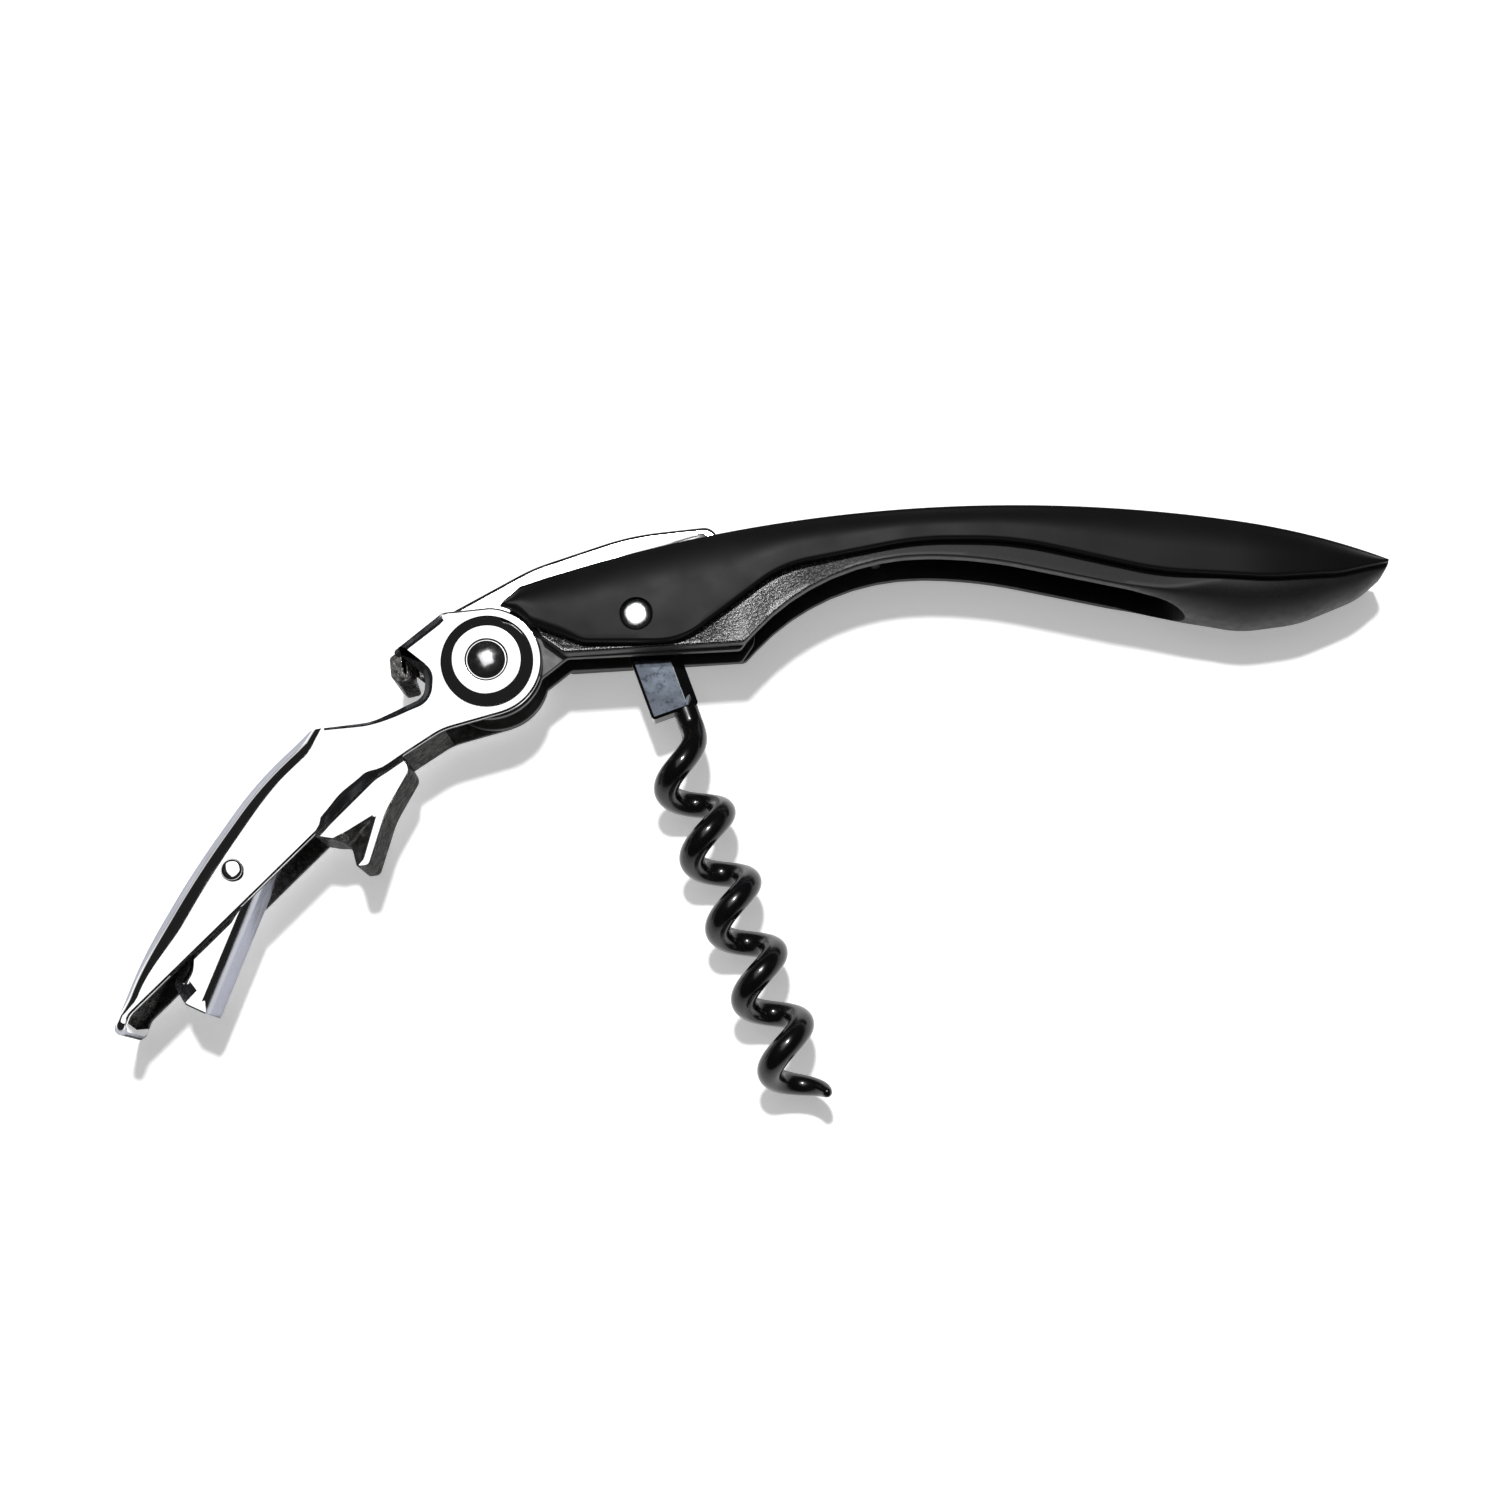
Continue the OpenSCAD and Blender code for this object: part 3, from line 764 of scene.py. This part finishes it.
def scale(side, name, node):
    """One black scale, recessed around the head of the worm's pin."""
    work = Build()
    rings = []
    dense = [(0, 5, 0.16), (5, 13, 0.35), (13, 50, 0.6), (104, 112, 0.5), (112, 114, 0.2)]
    for x in stations(SCALE_FROM, 113.5, dense):
        rings.append([work.add(x, y, side * z) for y, z in scale_section(x)])
    work.skin(rings)
    work.face(rings[0])
    work.face(rings[-1][::-1])
    piece = work.finish(name, [MAT["scale_black"]], 40)
    low, high = sorted(side * z for z in HEAD_RECESS_Z)
    hole = tool(arc_points(HEAD_RECESS_R, 0, 354, 59), low, high, at=WORM_PIN)
    cut(piece, hole)
    shade(piece, 40, flats=False)
    near = row(*WORM_PIN, 0)
    for face in piece.data.polygons:
        corners = [piece.data.vertices[i].co for i in face.vertices]
        if min(math.hypot(c.x - near.x, c.y - near.y) for c in corners) < FLAT_AROUND * MM:
            face.use_smooth = False
    return place(piece, "handle", "scale_black", node)


def liner(side, name, node):
    """One liner plate, round at the main pivot and inside the frame behind it."""
    corners = [
        (6.76, -1.81, 0.6), (9.9, 0.72, 1), (31.7, 1.8, 0.9), (33.4, 4.3, 2),
        (33.6, 12.2, 1), (14, 10.8, 4),
    ]
    line = rounded(corners, 5, closed=False)
    line = fillet((6.3, -3.0), (6.76, -1.81), (9.9, 0.72), 0.6, 4) + line[1:] + [(2.2, 6.6)]
    line += arc_points(7, 72, 338, 60)
    work = Build()
    low, high = sorted(side * z for z in LINER_Z)
    plate(work, divided(line, 1.5), low, high, LINER_RIM, LINER_RIM)
    piece = work.finish(name, [MAT["liner_black"]], 30)
    return place(piece, "handle", "black_steel", node)


DOME_RIM, DOME_STEPS = 0.08, 14


def dome(r, h, z):
    """A rounded rivet head from its crown out to its rim and down to height z."""
    ball = (r * r + h * h) / (2 * h)
    wide = math.asin(min(r / ball, 1)) if h < r else math.pi / 2
    angles = [wide * k / DOME_STEPS for k in range(DOME_STEPS + 1)]
    line = [(ball * math.sin(a), z + h - ball + ball * math.cos(a)) for a in angles]
    line[0] = (0, z + h)
    return line + [(r - DOME_RIM, z - 0.01)]


FLAT_CROWN = [
    (0, 1), (0.35, 0.997), (0.65, 0.975), (0.8, 0.93), (0.91, 0.83), (0.97, 0.7), (1, 0.5), (1, 0.05),
]
ROUND_CROWN = [
    (0, 1), (0.3, 0.99), (0.54, 0.955), (0.72, 0.88), (0.87, 0.75), (0.96, 0.58), (1, 0.38), (1, 0.05),
]


def rivet(name, node, body, slot, material, at, pin_r, head_r, head_h, z, button=None):
    """A pin with a head at each end, domed or with a button's crown of (radius, height) shares."""
    if button:
        line = [(head_r * r, z + head_h * h) for r, h in button]
        line += [(head_r - 0.06, z - 0.01), (pin_r, z - 0.02)]
    else:
        line = dome(head_r, head_h, z) + [(pin_r, z - 0.02)]
    line += [(r, -height) for r, height in line[::-1]]
    return lathe(name, line, at, material, body, [node], slot)


def pivot_cap(side, name, node):
    """One turned cap over a lever plate, with an eye for the main pivot's pin."""
    low, high, eye = 6.05, 7.0, 2.05
    line = [(eye, low), (5.62, low), (5.78, low + 0.1), (5.8, low + 0.22)]
    line += [(5.74, low + 0.36), (5.5, low + 0.5), (4.6, low + 0.84), (4.42, high - 0.04), (4.3, high)]
    line += [(4.0, high), (2.75, high), (2.6, high - 0.03), (2.5, high - 0.12), (eye, high - 0.12)]
    line = [(r, side * z) for r, z in line + [(eye, low)]]
    return lathe(name, line, (0, 0), MAT["chrome"], "handle", [node], "cap_chrome", 96)


def ring_piece(name, node, body, slot, material, at, r_in, r_out, z0, z1):
    c = 0.08
    line = [(r_in, z0 + c), (r_in + c, z0), (r_out - c, z0), (r_out, z0 + c)]
    line += [(r_out, z1 - c), (r_out - c, z1), (r_in + c, z1), (r_in, z1 - c), (r_in, z0 + c)]
    return lathe(name, line, at, MAT[material], body, [node], slot)


# ---- Lever ----

LEVER_TURN = 225.3
STEP_TURN = 249.4
STEP_PIN = drawn("step_pivot")
LEVER_EDGE = [
    (-4.9, -4.8, 0), (-0.2, -8.6, 0.8), (8.35, -9.45, 0.5), (7.1, -8.2, 0.3),
    (6.6, -4.3, 1.4), (8.7, -2.4, 2), (15.5, -4.7, 8), (22.1, -9.85, 0.8),
    (31, -9.95, 45), (44.05, -7.43, 115), (55.07, -4.23, 55), (64.7, 0.5, 0.8),
    (63.7, 1.8, 0.6), (61.5, 0.6, 2), (29, 0.5, 0.6), (20, 0.4, 8),
    (14.9, 1.3, 3), (10, 2.3, 8), (3.2, 6.1, 0),
]
WEB_CORNER, SHEARED = (22.1, -9.85), (-1.9, 1.48)  # where the web begins and how its end runs
WEB_TIP, WEB_END = (62.3, 61.8, 0.45), 63.2
PLATE_Z, HOOK_HALF, WALL_HALF, LIP_HALF = (6.0, 4.8), 4.5, 4.9, 5.2
THIN_RIM, HOOK_RIM, WALL_RIM, LIP_RIM = 0.26, 0.22, 0.1, 0.55


def lever_plates():
    """The lever's two side plates and the bent web that joins them."""
    line = rounded(LEVER_EDGE, 8) + arc_points(6.87, 63, 224, 50)[:-1]
    line = divided(line, 0.8)
    # the web's sheared end takes the place of the outline's own corner
    gap = [(x, y) for x, y in line if not (20.2 < x < 22.9 and y < -8.2)]
    first = next(i for i, (x, y) in enumerate(gap) if x >= 22.9 and y < -8)
    sheared = (WEB_CORNER[0] + SHEARED[0], WEB_CORNER[1] + SHEARED[1])
    line = gap[:first] + [sheared, WEB_CORNER] + gap[first:]
    first += 1
    web, rim, bend = [], [], []
    for x, y in line:
        # the web follows the back edge and closes the tip
        on_back = x > 21.9 and y < -9.3 + (x - 22) * 0.236 + 0.9 and y < 0.45
        web.append(on_back or x > WEB_END)
        bend_width = stepped(x, [(22, 2.3), (25, 3.1), (50, 3.1), (60, 1.7), (62.5, 0.9)])
        bend.append((bend_width, stepped(x, [(22, 2.8), (50, 2.8), (62, 2.0), (64.5, 1.6)])))
        size = THIN_RIM
        # wider facets on the cap lifter, up to the web, and over the first step
        if y < -7.6 and x < 8.6:
            size = stepped(x, [(-0.6, 0.2), (0.2, 1.2), (8.0, 1.1)])
        elif x < 21.9 and y < -2 and x > 6:
            size = stepped(x, [(8, 1.05), (12, 0.85), (16, 0.5), (21, 0.35)])
        if 18.5 < x < 29.5 and y > 0.2:
            size = stepped(x, [(18.5, 0.3), (21, 1.15), (24.5, 1.45), (28, 1.1), (29.5, 0.3)])
        rim.append(chamfer(size))
    walls = [stepped(x, [(50, 1.2), (60, 0.8), (63, 0.5)]) for x, _ in line]
    work = Build(LEVER_TURN)
    channel(
        work, line, *PLATE_Z, walls, rim, bend, web, outside=2, inside_mark=1,
        start=(first, SHEARED), tip=WEB_TIP,
    )
    # mark 1, the hollow, takes the dark chrome painted with shade; mark 2, the web and the outer bends of
    # the rims, takes the grey-blue chrome painted with reflection
    piece = work.finish("lever_plates", [MAT["chrome"], MAT["cast_chrome_painted_shade"], MAT["web_chrome_painted_reflection"]], 40)
    place(piece, "lever", "chrome", "lever_body")


def first_step():
    """The hook between the plates that is the lever's first step."""
    work = Build(LEVER_TURN)
    hook = rounded([
        (15.4, -0.4, 0.5), (31.2, -0.6, 0.8), (29.5, 1.8, 0.8), (27.9, 3.8, 2.2),
        (29.5, 6.9, 0.7), (28.2, 7.9, 0.8), (22, 4.5, 12), (16.2, 2.8, 1.2),
    ], 7)
    hook = divided(hook, 0.7)
    rim, targets = [], {}
    for i, (x, y) in enumerate(hook):
        size = chamfer(HOOK_RIM)
        # the facets of the notch for the bottle's rim reach in to one point
        if x > 27.3 and 2.4 < y < 6.9:
            if y < 3.8:
                targets[i] = between((22.8, 3.7), (28.4, 2.4), (y - 2.4) / 1.4)
            else:
                targets[i] = between((28.3, 6.9), (22.8, 3.7), (y - 3.8) / 3.1)
            reach = math.hypot(targets[i][0] - x, targets[i][1] - y)
            size = (reach, 0.1 + 0.4 * reach, True)
        rim.append(size)
    plate(work, hook, -HOOK_HALF, HOOK_HALF, rim, rim, {"at": targets, "both": True}, side_mark=1)
    # the side walls, mark 1, take the dark chrome whose colour is painted shade
    piece = work.finish("first_step_hook", [MAT["chrome"], MAT["cast_chrome_painted_shade"]], 40)
    place(piece, "lever", "chrome")


def lever_wall():
    """The wall between the plates, from the round end to the first step."""
    work = Build(LEVER_TURN)
    wall = rounded([
        (9.7, 2.35, 0.2), (14.9, 1.3, 3), (21, 0.35, 0.2), (20.6, -0.8, 0.2),
        (14.5, 0.05, 3), (9.4, 1.15, 0.2),
    ], 4)
    plate(work, divided(wall, 0.8), -WALL_HALF, WALL_HALF, WALL_RIM, WALL_RIM, side_mark=1)
    # the side walls, mark 1, take the dark chrome whose colour is painted shade
    piece = work.finish("lever_inner_wall", [MAT["chrome"], MAT["cast_chrome_painted_shade"]], 40)
    place(piece, "lever", "chrome")


def cap_lifter():
    """The lip between the plates that catches a crown cap."""
    work = Build(LEVER_TURN)
    lip = rounded([
        (6.0, -8.9, 0.2), (8.25, -9.25, 0.5), (9.8, -7.3, 0.5), (9.7, -6.2, 0.4),
        (8.2, -5.3, 0.4), (7.3, -7.3, 0.4), (6.0, -7.9, 0.2),
    ], 5)
    plate(work, divided(lip, 0.6), -LIP_HALF, LIP_HALF, chamfer(LIP_RIM), chamfer(LIP_RIM))
    # the whole lip takes the dark chrome, whose colour is painted shade on its facets
    piece = work.finish("cap_lifter_lip", [MAT["cast_chrome_painted_shade"]], 40)
    place(piece, "lever", "chrome")


STEP_Z, STEP_WALL, STEP_RIM = (4.4, 3.2), 1.2, 0.18


def second_step():
    """The hinged second step, a bent channel on its own pin."""
    corners = [
        (9, -0.5, 12), (15.4, -2.0, 1.3), (17.3, 0.4, 2), (17.5, 3.6, 0.4),
        (-4.2, 3.6, 0.5), (-3.4, 1.6, 0.6), (-1.8, 1.74, 0.3),
    ]
    line = rounded(corners, 6, closed=False)
    line[0:1] = [(6, -1.2), (9, -0.62)]
    line = divided(line + arc_points(2.5, 138, 280, 24), 0.6)
    web = [y > 3.3 for _, y in line]
    rim = []
    for x, y in line:
        facet = stepped(x, [(10.5, 0.2), (13.5, 1.5), (17.5, 2.2)])
        rim.append(chamfer(facet) if x > 10.5 and y < 0.3 else chamfer(STEP_RIM))
    bend = [(min(1.6, 0.5 + 0.12 * max(x + 4.2, 0)) if x < 5 else 1.6, 1.6) for x, _ in line]
    work = Build(STEP_TURN, STEP_PIN)
    walls = [STEP_WALL] * len(line)
    channel(work, line, *STEP_Z, walls, rim, bend, web, outside=1, inside_mark=2)
    # mark 1, the web and the outer bends, takes the grey-blue painted reflection; mark 2, the hollow,
    # takes the dark painted shade
    piece = work.finish("second_step_channel", [MAT["chrome"], MAT["web_chrome_painted_reflection"], MAT["cast_chrome_painted_shade"]], 40)
    place(piece, "second_step", "chrome", "second_step")


# ---- Worm ----

WORM_TURN = -69.8
PITCH, WIRE, WORM_OD, REACH = 9.4, 3.2, 9.0, 63.6
ROD_FROM, HELIX_FROM, EASE_IN = 9.5, 13.5, 6.0
OFF_AXIS, POINT_R, TAPER_TURN = -1.0, 0.3, 230.0
WIRE_SIDES = 28
SHANK = [(-3.1, -2.5, 2.4), (12.2, -2.5, 0.5), (12.2, 3.7, 0.6), (-3.1, 3.7, 2.4)]
SHANK_HALF, SHANK_FACET, SHANK_RIM = 1.7, (1.5, 0.9, True), (0.35, 0.25, True)


def worm_angle(s):
    """How far the helix has turned at distance s from the worm's pin, in degrees."""
    x = max(s - HELIX_FROM, 0)
    return 360 / PITCH * (x * x / (2 * EASE_IN) if x < EASE_IN else x - EASE_IN / 2)


def worm():
    """The flat shank at the pin, a short rod, and the helix tapered to a point."""
    work = Build(WORM_TURN, WORM_PIN)
    helix_r = (WORM_OD - WIRE) / 2
    end = worm_angle(REACH)
    marks = [ROD_FROM + 0.5 * k for k in range(8)] + [HELIX_FROM + 0.25 * k for k in range(25)]
    turn = worm_angle(HELIX_FROM + EASE_IN) + 6
    while turn < end - 1:
        marks.append(HELIX_FROM + EASE_IN / 2 + turn * PITCH / 360)
        turn += 6 if turn < end - 40 else 3
    marks.append(REACH)
    rings = []
    for s in marks:
        t = math.radians(worm_angle(s))
        out = Vector((math.cos(t), math.sin(t), 0))
        around = Vector((-math.sin(t), math.cos(t), 0))
        grown = min(max(s - HELIX_FROM, 0) / EASE_IN, 1)
        along = (around * (2 * math.pi * helix_r / PITCH * grown) + Vector((0, 0, 1))).normalized()
        across = out.cross(along)
        left = min((end - worm_angle(s)) / TAPER_TURN, 1)
        r = POINT_R + (WIRE / 2 - POINT_R) * math.sqrt(max(left * (2 - left), 0))
        ring = []
        for k in range(WIRE_SIDES):
            a = 2 * math.pi * k / WIRE_SIDES
            p = out * (helix_r + r * math.cos(a)) + across * (r * math.sin(a))
            # the helix's own x, y, z are the worm's y, z and length
            ring.append(work.add(s + p.z, OFF_AXIS + p.x, p.y))
        rings.append(ring)
    work.skin(rings)
    work.face(rings[0][::-1])
    work.face(rings[-1])
    shank = divided(rounded(SHANK, 8), 0.8)
    rim = [SHANK_FACET if y > 2.4 else SHANK_RIM for _, y in shank]
    start = len(work.faces)
    plate(work, shank, -SHANK_HALF, SHANK_HALF, rim, rim)
    # the shank's two broad faces come first; they take the grey-blue painted reflection of the black
    # coating
    work.marks[start] = 1
    work.marks[start + 1] = 1
    piece = work.finish("worm_wire", [MAT["worm_black"], MAT["shank_painted_reflection"]], 40)
    place(piece, "worm", "worm_black", "worm")


# ---- Foil cutter ----

BLADE_EDGE = [
    (-5.5, -5.5, 4.5), (-5.3, 7.5, 1.2), (5.0, 13.3, 22), (17.5, 17.6, 34), (28.2, 18.8, 1.8),
    (28.9, 16.6, 0.5), (23, 12.7, 8), (15, 10.4, 10), (6, 8.8, 2), (5.5, -5.5, 4.5),
]
GRIND = [
    (8.5, 9.9), (11.5, 11.6), (14.8, 14.1), (16.8, 15.3), (18.7, 16.2), (21, 17), (23.2, 17.5),
    (25.1, 17.8), (26.4, 17.95), (28, 17.75),
]
CUTTING_EDGE = [(6, 9.2), (15, 11.0), (23, 13.3), (28.9, 17.2)]
BLADE_HALF, GROUND_RIM, BLADE_RIM = 0.75, (0.2, 0.66), 0.42
GRIND_X = (8.5, 28.5)


def foil_cutter():
    """The cutter's blade, hollow-ground on both faces along its edge."""
    line = divided(rounded(BLADE_EDGE, 8), 0.6)
    spine = reader(GRIND)
    targets, hollow, sizes = {}, [], []
    cutting = reader(CUTTING_EDGE)
    for i, (x, y) in enumerate(line):
        ground = GRIND_X[0] < x < GRIND_X[1] and y < cutting(x) + 0.3
        hollow.append(ground)
        if ground:
            at = x - 1.2 * ease((x - GRIND_X[0]) / 8)
            targets[i] = (at, max(spine(at), y + 0.1))
        sizes.append(GROUND_RIM if ground else chamfer(BLADE_RIM))
    work = Build()
    plate(work, line, -BLADE_HALF, BLADE_HALF, sizes, sizes, {"at": targets, "both": True}, hollow)
    piece = work.finish("foil_cutter_blade", [MAT["blade_steel"]], 24)
    return place(piece, "blade", "blade_steel", "foil_cutter")


SPRING_HALF, SPRING_RIM, SPRING_PIN = 2.6, 0.12, (49, 15.4)


def back_spring():
    """The leaf spring under the handle's back."""
    line = rounded([
        (50.5, 14.6, 1.1), (48.0, 14.9, 2), (39, 13.5, 30), (31.2, 11.6, 0.4), (31.0, 12.5, 0.3),
        (39, 14.2, 30), (48.0, 16.5, 1), (50.5, 16.9, 1.1),
    ], 6)
    work = Build()
    plate(work, divided(line, 1.2), -SPRING_HALF, SPRING_HALF, SPRING_RIM, SPRING_RIM)
    piece = work.finish("back_spring_leaf", [MAT["spring_steel"]], 30)
    place(piece, "handle", "spring_steel", "back_spring")


def build_all():
    handle_frame()
    scale(1, "scale_front_shell", "scale_front")
    scale(-1, "scale_rear_shell", "scale_rear")
    liner(1, "liner_front_plate", "liner_front")
    liner(-1, "liner_rear_plate", "liner_rear")
    rivet(
        "main_pivot_rivet", "main_pivot_pin", "handle", "pivot_steel", MAT["pivot_steel"], (0, 0),
        pin_r=2.0, head_r=2.38, head_h=0.62, z=7.02,
    )
    pivot_cap(1, "pivot_cap_front_turned", "pivot_cap_front")
    pivot_cap(-1, "pivot_cap_rear_turned", "pivot_cap_rear")
    rivet(
        "worm_rivet", "worm_pin", "handle", "chrome", MAT["rivet_chrome"], WORM_PIN,
        pin_r=1.3, head_r=2.05, head_h=0.86, z=7.12, button=ROUND_CROWN,
    )
    rivet(
        "second_step_rivet", "second_step_pin", "lever", "chrome", MAT["chrome"], STEP_PIN,
        pin_r=1.0, head_r=1.4, head_h=0.95, z=6.02, button=FLAT_CROWN,
    )
    brass = [
        ("pivot_washer_front", (0, 0), 2.02, 4.6, 4.42, 4.78),
        ("pivot_washer_rear", (0, 0), 2.02, 4.6, -4.78, -4.42),
        ("worm_washer_front", WORM_PIN, 1.32, 2.9, 1.75, 3.15),
        ("worm_washer_rear", WORM_PIN, 1.32, 2.9, -3.15, -1.75),
        ("blade_spacer_front", (0, 0), 2.02, 3.6, 0.8, 3.15),
        ("blade_spacer_rear", (0, 0), 2.02, 3.6, -3.15, -0.8),
    ]
    for node, at, r_in, r_out, z0, z1 in brass:
        ring_piece(node + "_ring", node, "handle", "washer_brass", "washer_brass", at, r_in, r_out, z0, z1)
    pin = [(0, 6.45), (0.8, 6.45), (0.9, 6.35), (0.9, -6.35), (0.8, -6.45), (0, -6.45)]
    steel = MAT["spring_steel"]
    lathe("spring_rivet", pin, SPRING_PIN, steel, "handle", ["spring_pin"], "spring_steel", 32)
    back_spring()
    lever_plates()
    first_step()
    lever_wall()
    cap_lifter()
    second_step()
    worm()
    foil_cutter()


# ---- Stage ----

FLOOR_HALF, FLOOR_GLOW = 1.6, 0.39
LIT_POINT = (0, 0, 0.005)
BRIGHT_TO, DARK_FROM = 0.1, 0.2  # sines of the elevations between which the room turns dark
ROOM_BRIGHT, ROOM_DARK = 0.8, 0.015
EYE = (34.68, -66.3, 309.73)
EYE_RIGHT, EYE_UP = (0.99998, 0, -0.005935), (0.001057, 0.984021, 0.178047)
EYE_BACK = (0.00584, -0.17805, 0.984004)
LENS = 59.7


def floor():
    """A wide white ground under the object that glows a little."""
    shader = Shader("floor_white", (0.86, 0.86, 0.86), roughness=0.6, specular=0.1)
    shader.main.inputs["Emission Color"].default_value = (1, 1, 1, 1)
    shader.main.inputs["Emission Strength"].default_value = FLOOR_GLOW
    mesh = bpy.data.meshes.new("floor")
    w = FLOOR_HALF
    mesh.from_pydata([(-w, -w, 0), (w, -w, 0), (w, w, 0), (-w, w, 0)], [], [(0, 1, 2, 3)])
    mesh.materials.append(shader.material)
    piece = bpy.data.objects.new("floor", mesh)
    bpy.context.scene.collection.objects.link(piece)


def lamp(name, at, size, radiance, shape="RECTANGLE"):
    """An area lamp of that radiance that faces the object."""
    data = bpy.data.lights.new(name, "AREA")
    data.shape = shape
    data.size, data.size_y = size
    data.energy = radiance * math.pi * size[0] * size[1]
    lamp_object = bpy.data.objects.new(name, data)
    lamp_object.location = at
    lamp_object.rotation_euler = (Vector(LIT_POINT) - Vector(at)).to_track_quat("-Z", "Y").to_euler()
    bpy.context.scene.collection.objects.link(lamp_object)


def stage():
    """The floor, two lamps, and a room that is bright low down and dark above."""
    floor()
    lamp("reflected_card", (-0.1, 0.2, 0.8), (0.5, 0.62), 1.25)
    lamp("key_softbox", (-0.03, 0.3, 0.86), (0.06, 0.06), 640, "DISK")
    world = bpy.data.worlds.new("room")
    bpy.context.scene.world = world
    world.use_nodes = True
    tree = world.node_tree
    where = tree.nodes.new("ShaderNodeTexCoord")
    parts = tree.nodes.new("ShaderNodeSeparateXYZ")
    band = tree.nodes.new("ShaderNodeMapRange")
    levels = {"From Min": BRIGHT_TO, "From Max": DARK_FROM, "To Min": ROOM_BRIGHT, "To Max": ROOM_DARK}
    for key, number in levels.items():
        band.inputs[key].default_value = number
    band.interpolation_type = "SMOOTHSTEP"
    tree.links.new(where.outputs["Generated"], parts.inputs["Vector"])
    tree.links.new(parts.outputs["Z"], band.inputs["Value"])
    tree.links.new(band.outputs["Result"], tree.nodes["Background"].inputs["Strength"])
    tree.nodes["Background"].inputs["Color"].default_value = (1, 1, 1, 1)
    bpy.context.scene.view_settings.view_transform = "Standard"


def camera():
    """The view of the photo, as fitted to it."""
    data = bpy.data.cameras.new("camera")
    data.sensor_width = 36
    data.lens = LENS
    data.clip_start = 0.01
    eye_object = bpy.data.objects.new("camera", data)
    turn = Matrix((EYE_RIGHT, EYE_UP, EYE_BACK)).transposed().to_4x4()
    eye_object.matrix_world = Matrix.Translation(row(*EYE)) @ turn
    bpy.context.scene.collection.objects.link(eye_object)
    bpy.context.scene.camera = eye_object


build_all()
stage()
camera()
bpy.context.view_layer.update()
